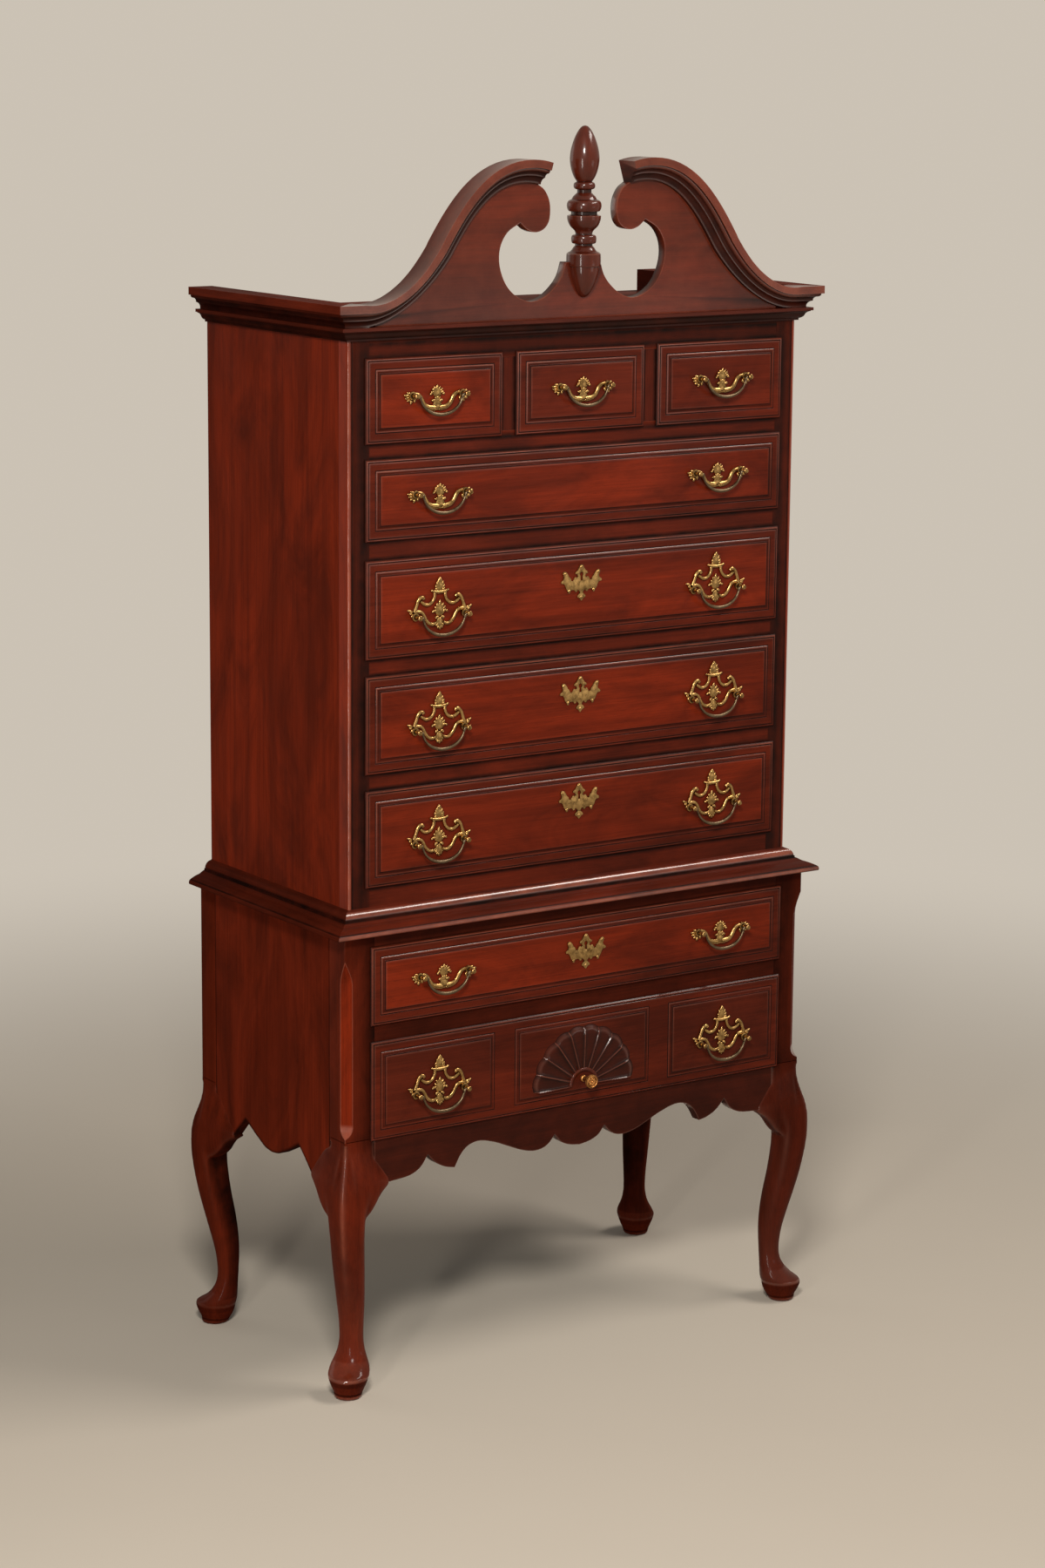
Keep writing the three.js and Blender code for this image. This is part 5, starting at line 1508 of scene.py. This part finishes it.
# Lamps as place, size, aim (in metres) and tint
LAMPS = {
    "key": ((-2.5, -3.3, 3.5), (0.7, 0.7), (0, 0, 1.1), (1, 0.96, 0.9)),
    "top": ((2.1, -1.7, 4.0), (2.2, 0.7), (0, 0, 1), (1, 0.93, 0.86)),
    "window": ((-3.1, -2.5, 1.0), (0.22, 1.9), (0, 0, 0.8), (1, 0.95, 0.88)),
    "fill": ((2.1, -3.4, 1.15), (1.3, 0.8), (0, 0, 1.6), (1, 0.96, 0.9)),
    "back": ((-2.4, 4.2, 2.4), (2.4, 2.0), (0, 0, 1), (1, 0.96, 0.9)),
}
# Camera place in metres, and the directions to its right, above it and ahead of it
CAMERA_PLACE = (-3.624059, -5.359285, 2.283563)
CAMERA_RIGHT = Vector((0.82710673, -0.56198526, 0.00818663))
CAMERA_UP = Vector((0.10611291, 0.17044332, 0.97963724))
CAMERA_AHEAD = Vector((0.55193705, 0.80939585, -0.20060871))
FLOOR_RADIUS, FADE_START, FADE_END = 26, 1.0, 3.8


class HighboyStageSet(bpy.types.Operator):
    """Sets the floor, the light and the camera"""
    bl_idname = "highboy.stage"
    bl_label = "Floor, light and camera"

    def execute(self, context):
        look, scene = context.scene.highboy_stage, context.scene
        self.floor(look)
        for name, (place, size, aim, tint) in LAMPS.items():
            lamp = bpy.data.lights.new(name, "AREA")
            lamp.shape, lamp.size, lamp.size_y = "RECTANGLE", *size
            lamp.energy, lamp.color = getattr(look, name), tint
            obj = bpy.data.objects.new(name, lamp)
            obj.location = place
            obj.rotation_euler = (Vector(aim) - Vector(place)).to_track_quat("-Z", "Y").to_euler()
            scene.collection.objects.link(obj)
        self.world(look)
        camera = bpy.data.cameras.new("camera")
        camera.sensor_fit, camera.sensor_height, camera.lens = "VERTICAL", 36, look.lens
        camera.clip_end = 200
        obj = bpy.data.objects.new("camera", camera)
        turn = Matrix((CAMERA_RIGHT, CAMERA_UP, -CAMERA_AHEAD)).transposed().to_4x4()
        obj.matrix_world = Matrix.Translation(CAMERA_PLACE) @ turn
        scene.collection.objects.link(obj)
        scene.camera = obj
        scene.view_settings.view_transform = "Standard"
        return {"FINISHED"}

    def floor(self, look):
        """A plain round floor that fades into the backdrop."""
        bm = bmesh.new()
        bmesh.ops.create_circle(bm, cap_ends=True, radius=FLOOR_RADIUS, segments=96)
        mesh = bpy.data.meshes.new("floor")
        bm.to_mesh(mesh)
        bm.free()
        floor = bpy.data.objects.new("floor", mesh)
        bpy.context.scene.collection.objects.link(floor)
        n, shader = new_material("floor")
        worn_and_highlit = (*(c * 0.97 for c in look.floor), 1)
        n.feed(shader, {"Base Color": n.mix(n.noise(n.place(), 3.0), (*look.floor, 1), worn_and_highlit),
                        "Roughness": 0.9, "Specular IOR Level": 0.0})
        away = n.add("ShaderNodeVectorMath", {0: n.place()}, operation="LENGTH").outputs["Value"]
        plain = n.add("ShaderNodeEmission", {"Color": (*look.backdrop, 1), "Strength": 1.0})
        fade = n.add("ShaderNodeMapRange", {0: away, 1: FADE_START, 2: FADE_END},
                     interpolation_type="SMOOTHSTEP")
        factor = n.math("MULTIPLY", fade.outputs[0], n.seen())
        shown = n.add("ShaderNodeMixShader", {0: factor, 1: shader.outputs[0], 2: plain.outputs[0]})
        ending = next(node for node in n.tree.nodes if node.bl_idname == "ShaderNodeOutputMaterial")
        n.feed(ending, {"Surface": shown.outputs[0]})
        mesh.materials.append(bpy.data.materials["floor"])

    def world(self, look):
        """Even light from all sides, and the backdrop where it is seen."""
        world = bpy.data.worlds.new("room")
        world.use_nodes = True
        world.node_tree.nodes.clear()
        n = Nodes(world.node_tree)
        light = n.add("ShaderNodeBackground", {"Color": (1, 0.98, 0.95, 1), "Strength": look.sky})
        shown = n.add("ShaderNodeBackground", {"Color": (*look.backdrop, 1), "Strength": 1.0})
        pick = n.add("ShaderNodeMixShader", {0: n.seen(), 1: light.outputs[0], 2: shown.outputs[0]})
        n.add("ShaderNodeOutputWorld", {"Surface": pick.outputs[0]})
        bpy.context.scene.world = world


# Panel and registration

STEPS = (HighboyStageSet, HighboyFinishes, HighboyCarcase, HighboyFaceFrame, HighboyMouldings,
         HighboyPediment, HighboyFinial, HighboyLowerCase, HighboyLegs, HighboyDrawers, HighboyFan,
         HighboyPlates, HighboyBails, HighboyEscutcheons, HighboyKnob)
GROUPS = {"highboy_wood": HighboyWood, "highboy_brass": HighboyBrass, "highboy_front": HighboyFront,
          "highboy_stage": HighboyStage}


class HighboyPanel(bpy.types.Panel):
    """Lists the steps that finish the highboy"""
    bl_idname = "VIEW3D_PT_highboy"
    bl_label = "Highboy"
    bl_space_type = "VIEW_3D"
    bl_region_type = "UI"
    bl_category = "Highboy"

    def draw(self, context):
        for name in GROUPS:
            values = getattr(context.scene, name)
            box = self.layout.box()
            for prop in values.bl_rna.properties:
                if prop.identifier not in ("rna_type", "name"):
                    box.prop(values, prop.identifier)
        for step in STEPS:
            self.layout.operator(step.bl_idname)


def register():
    for cls in (*GROUPS.values(), *STEPS, HighboyPanel):
        bpy.utils.register_class(cls)
    for name, group in GROUPS.items():
        setattr(bpy.types.Scene, name, PointerProperty(type=group))


def unregister():
    for name in GROUPS:
        delattr(bpy.types.Scene, name)
    for cls in reversed((*GROUPS.values(), *STEPS, HighboyPanel)):
        bpy.utils.unregister_class(cls)


def main():
    register()
    for step in STEPS:
        area, call = step.bl_idname.split(".")
        getattr(getattr(bpy.ops, area), call)()


if __name__ == "__main__":
    main()
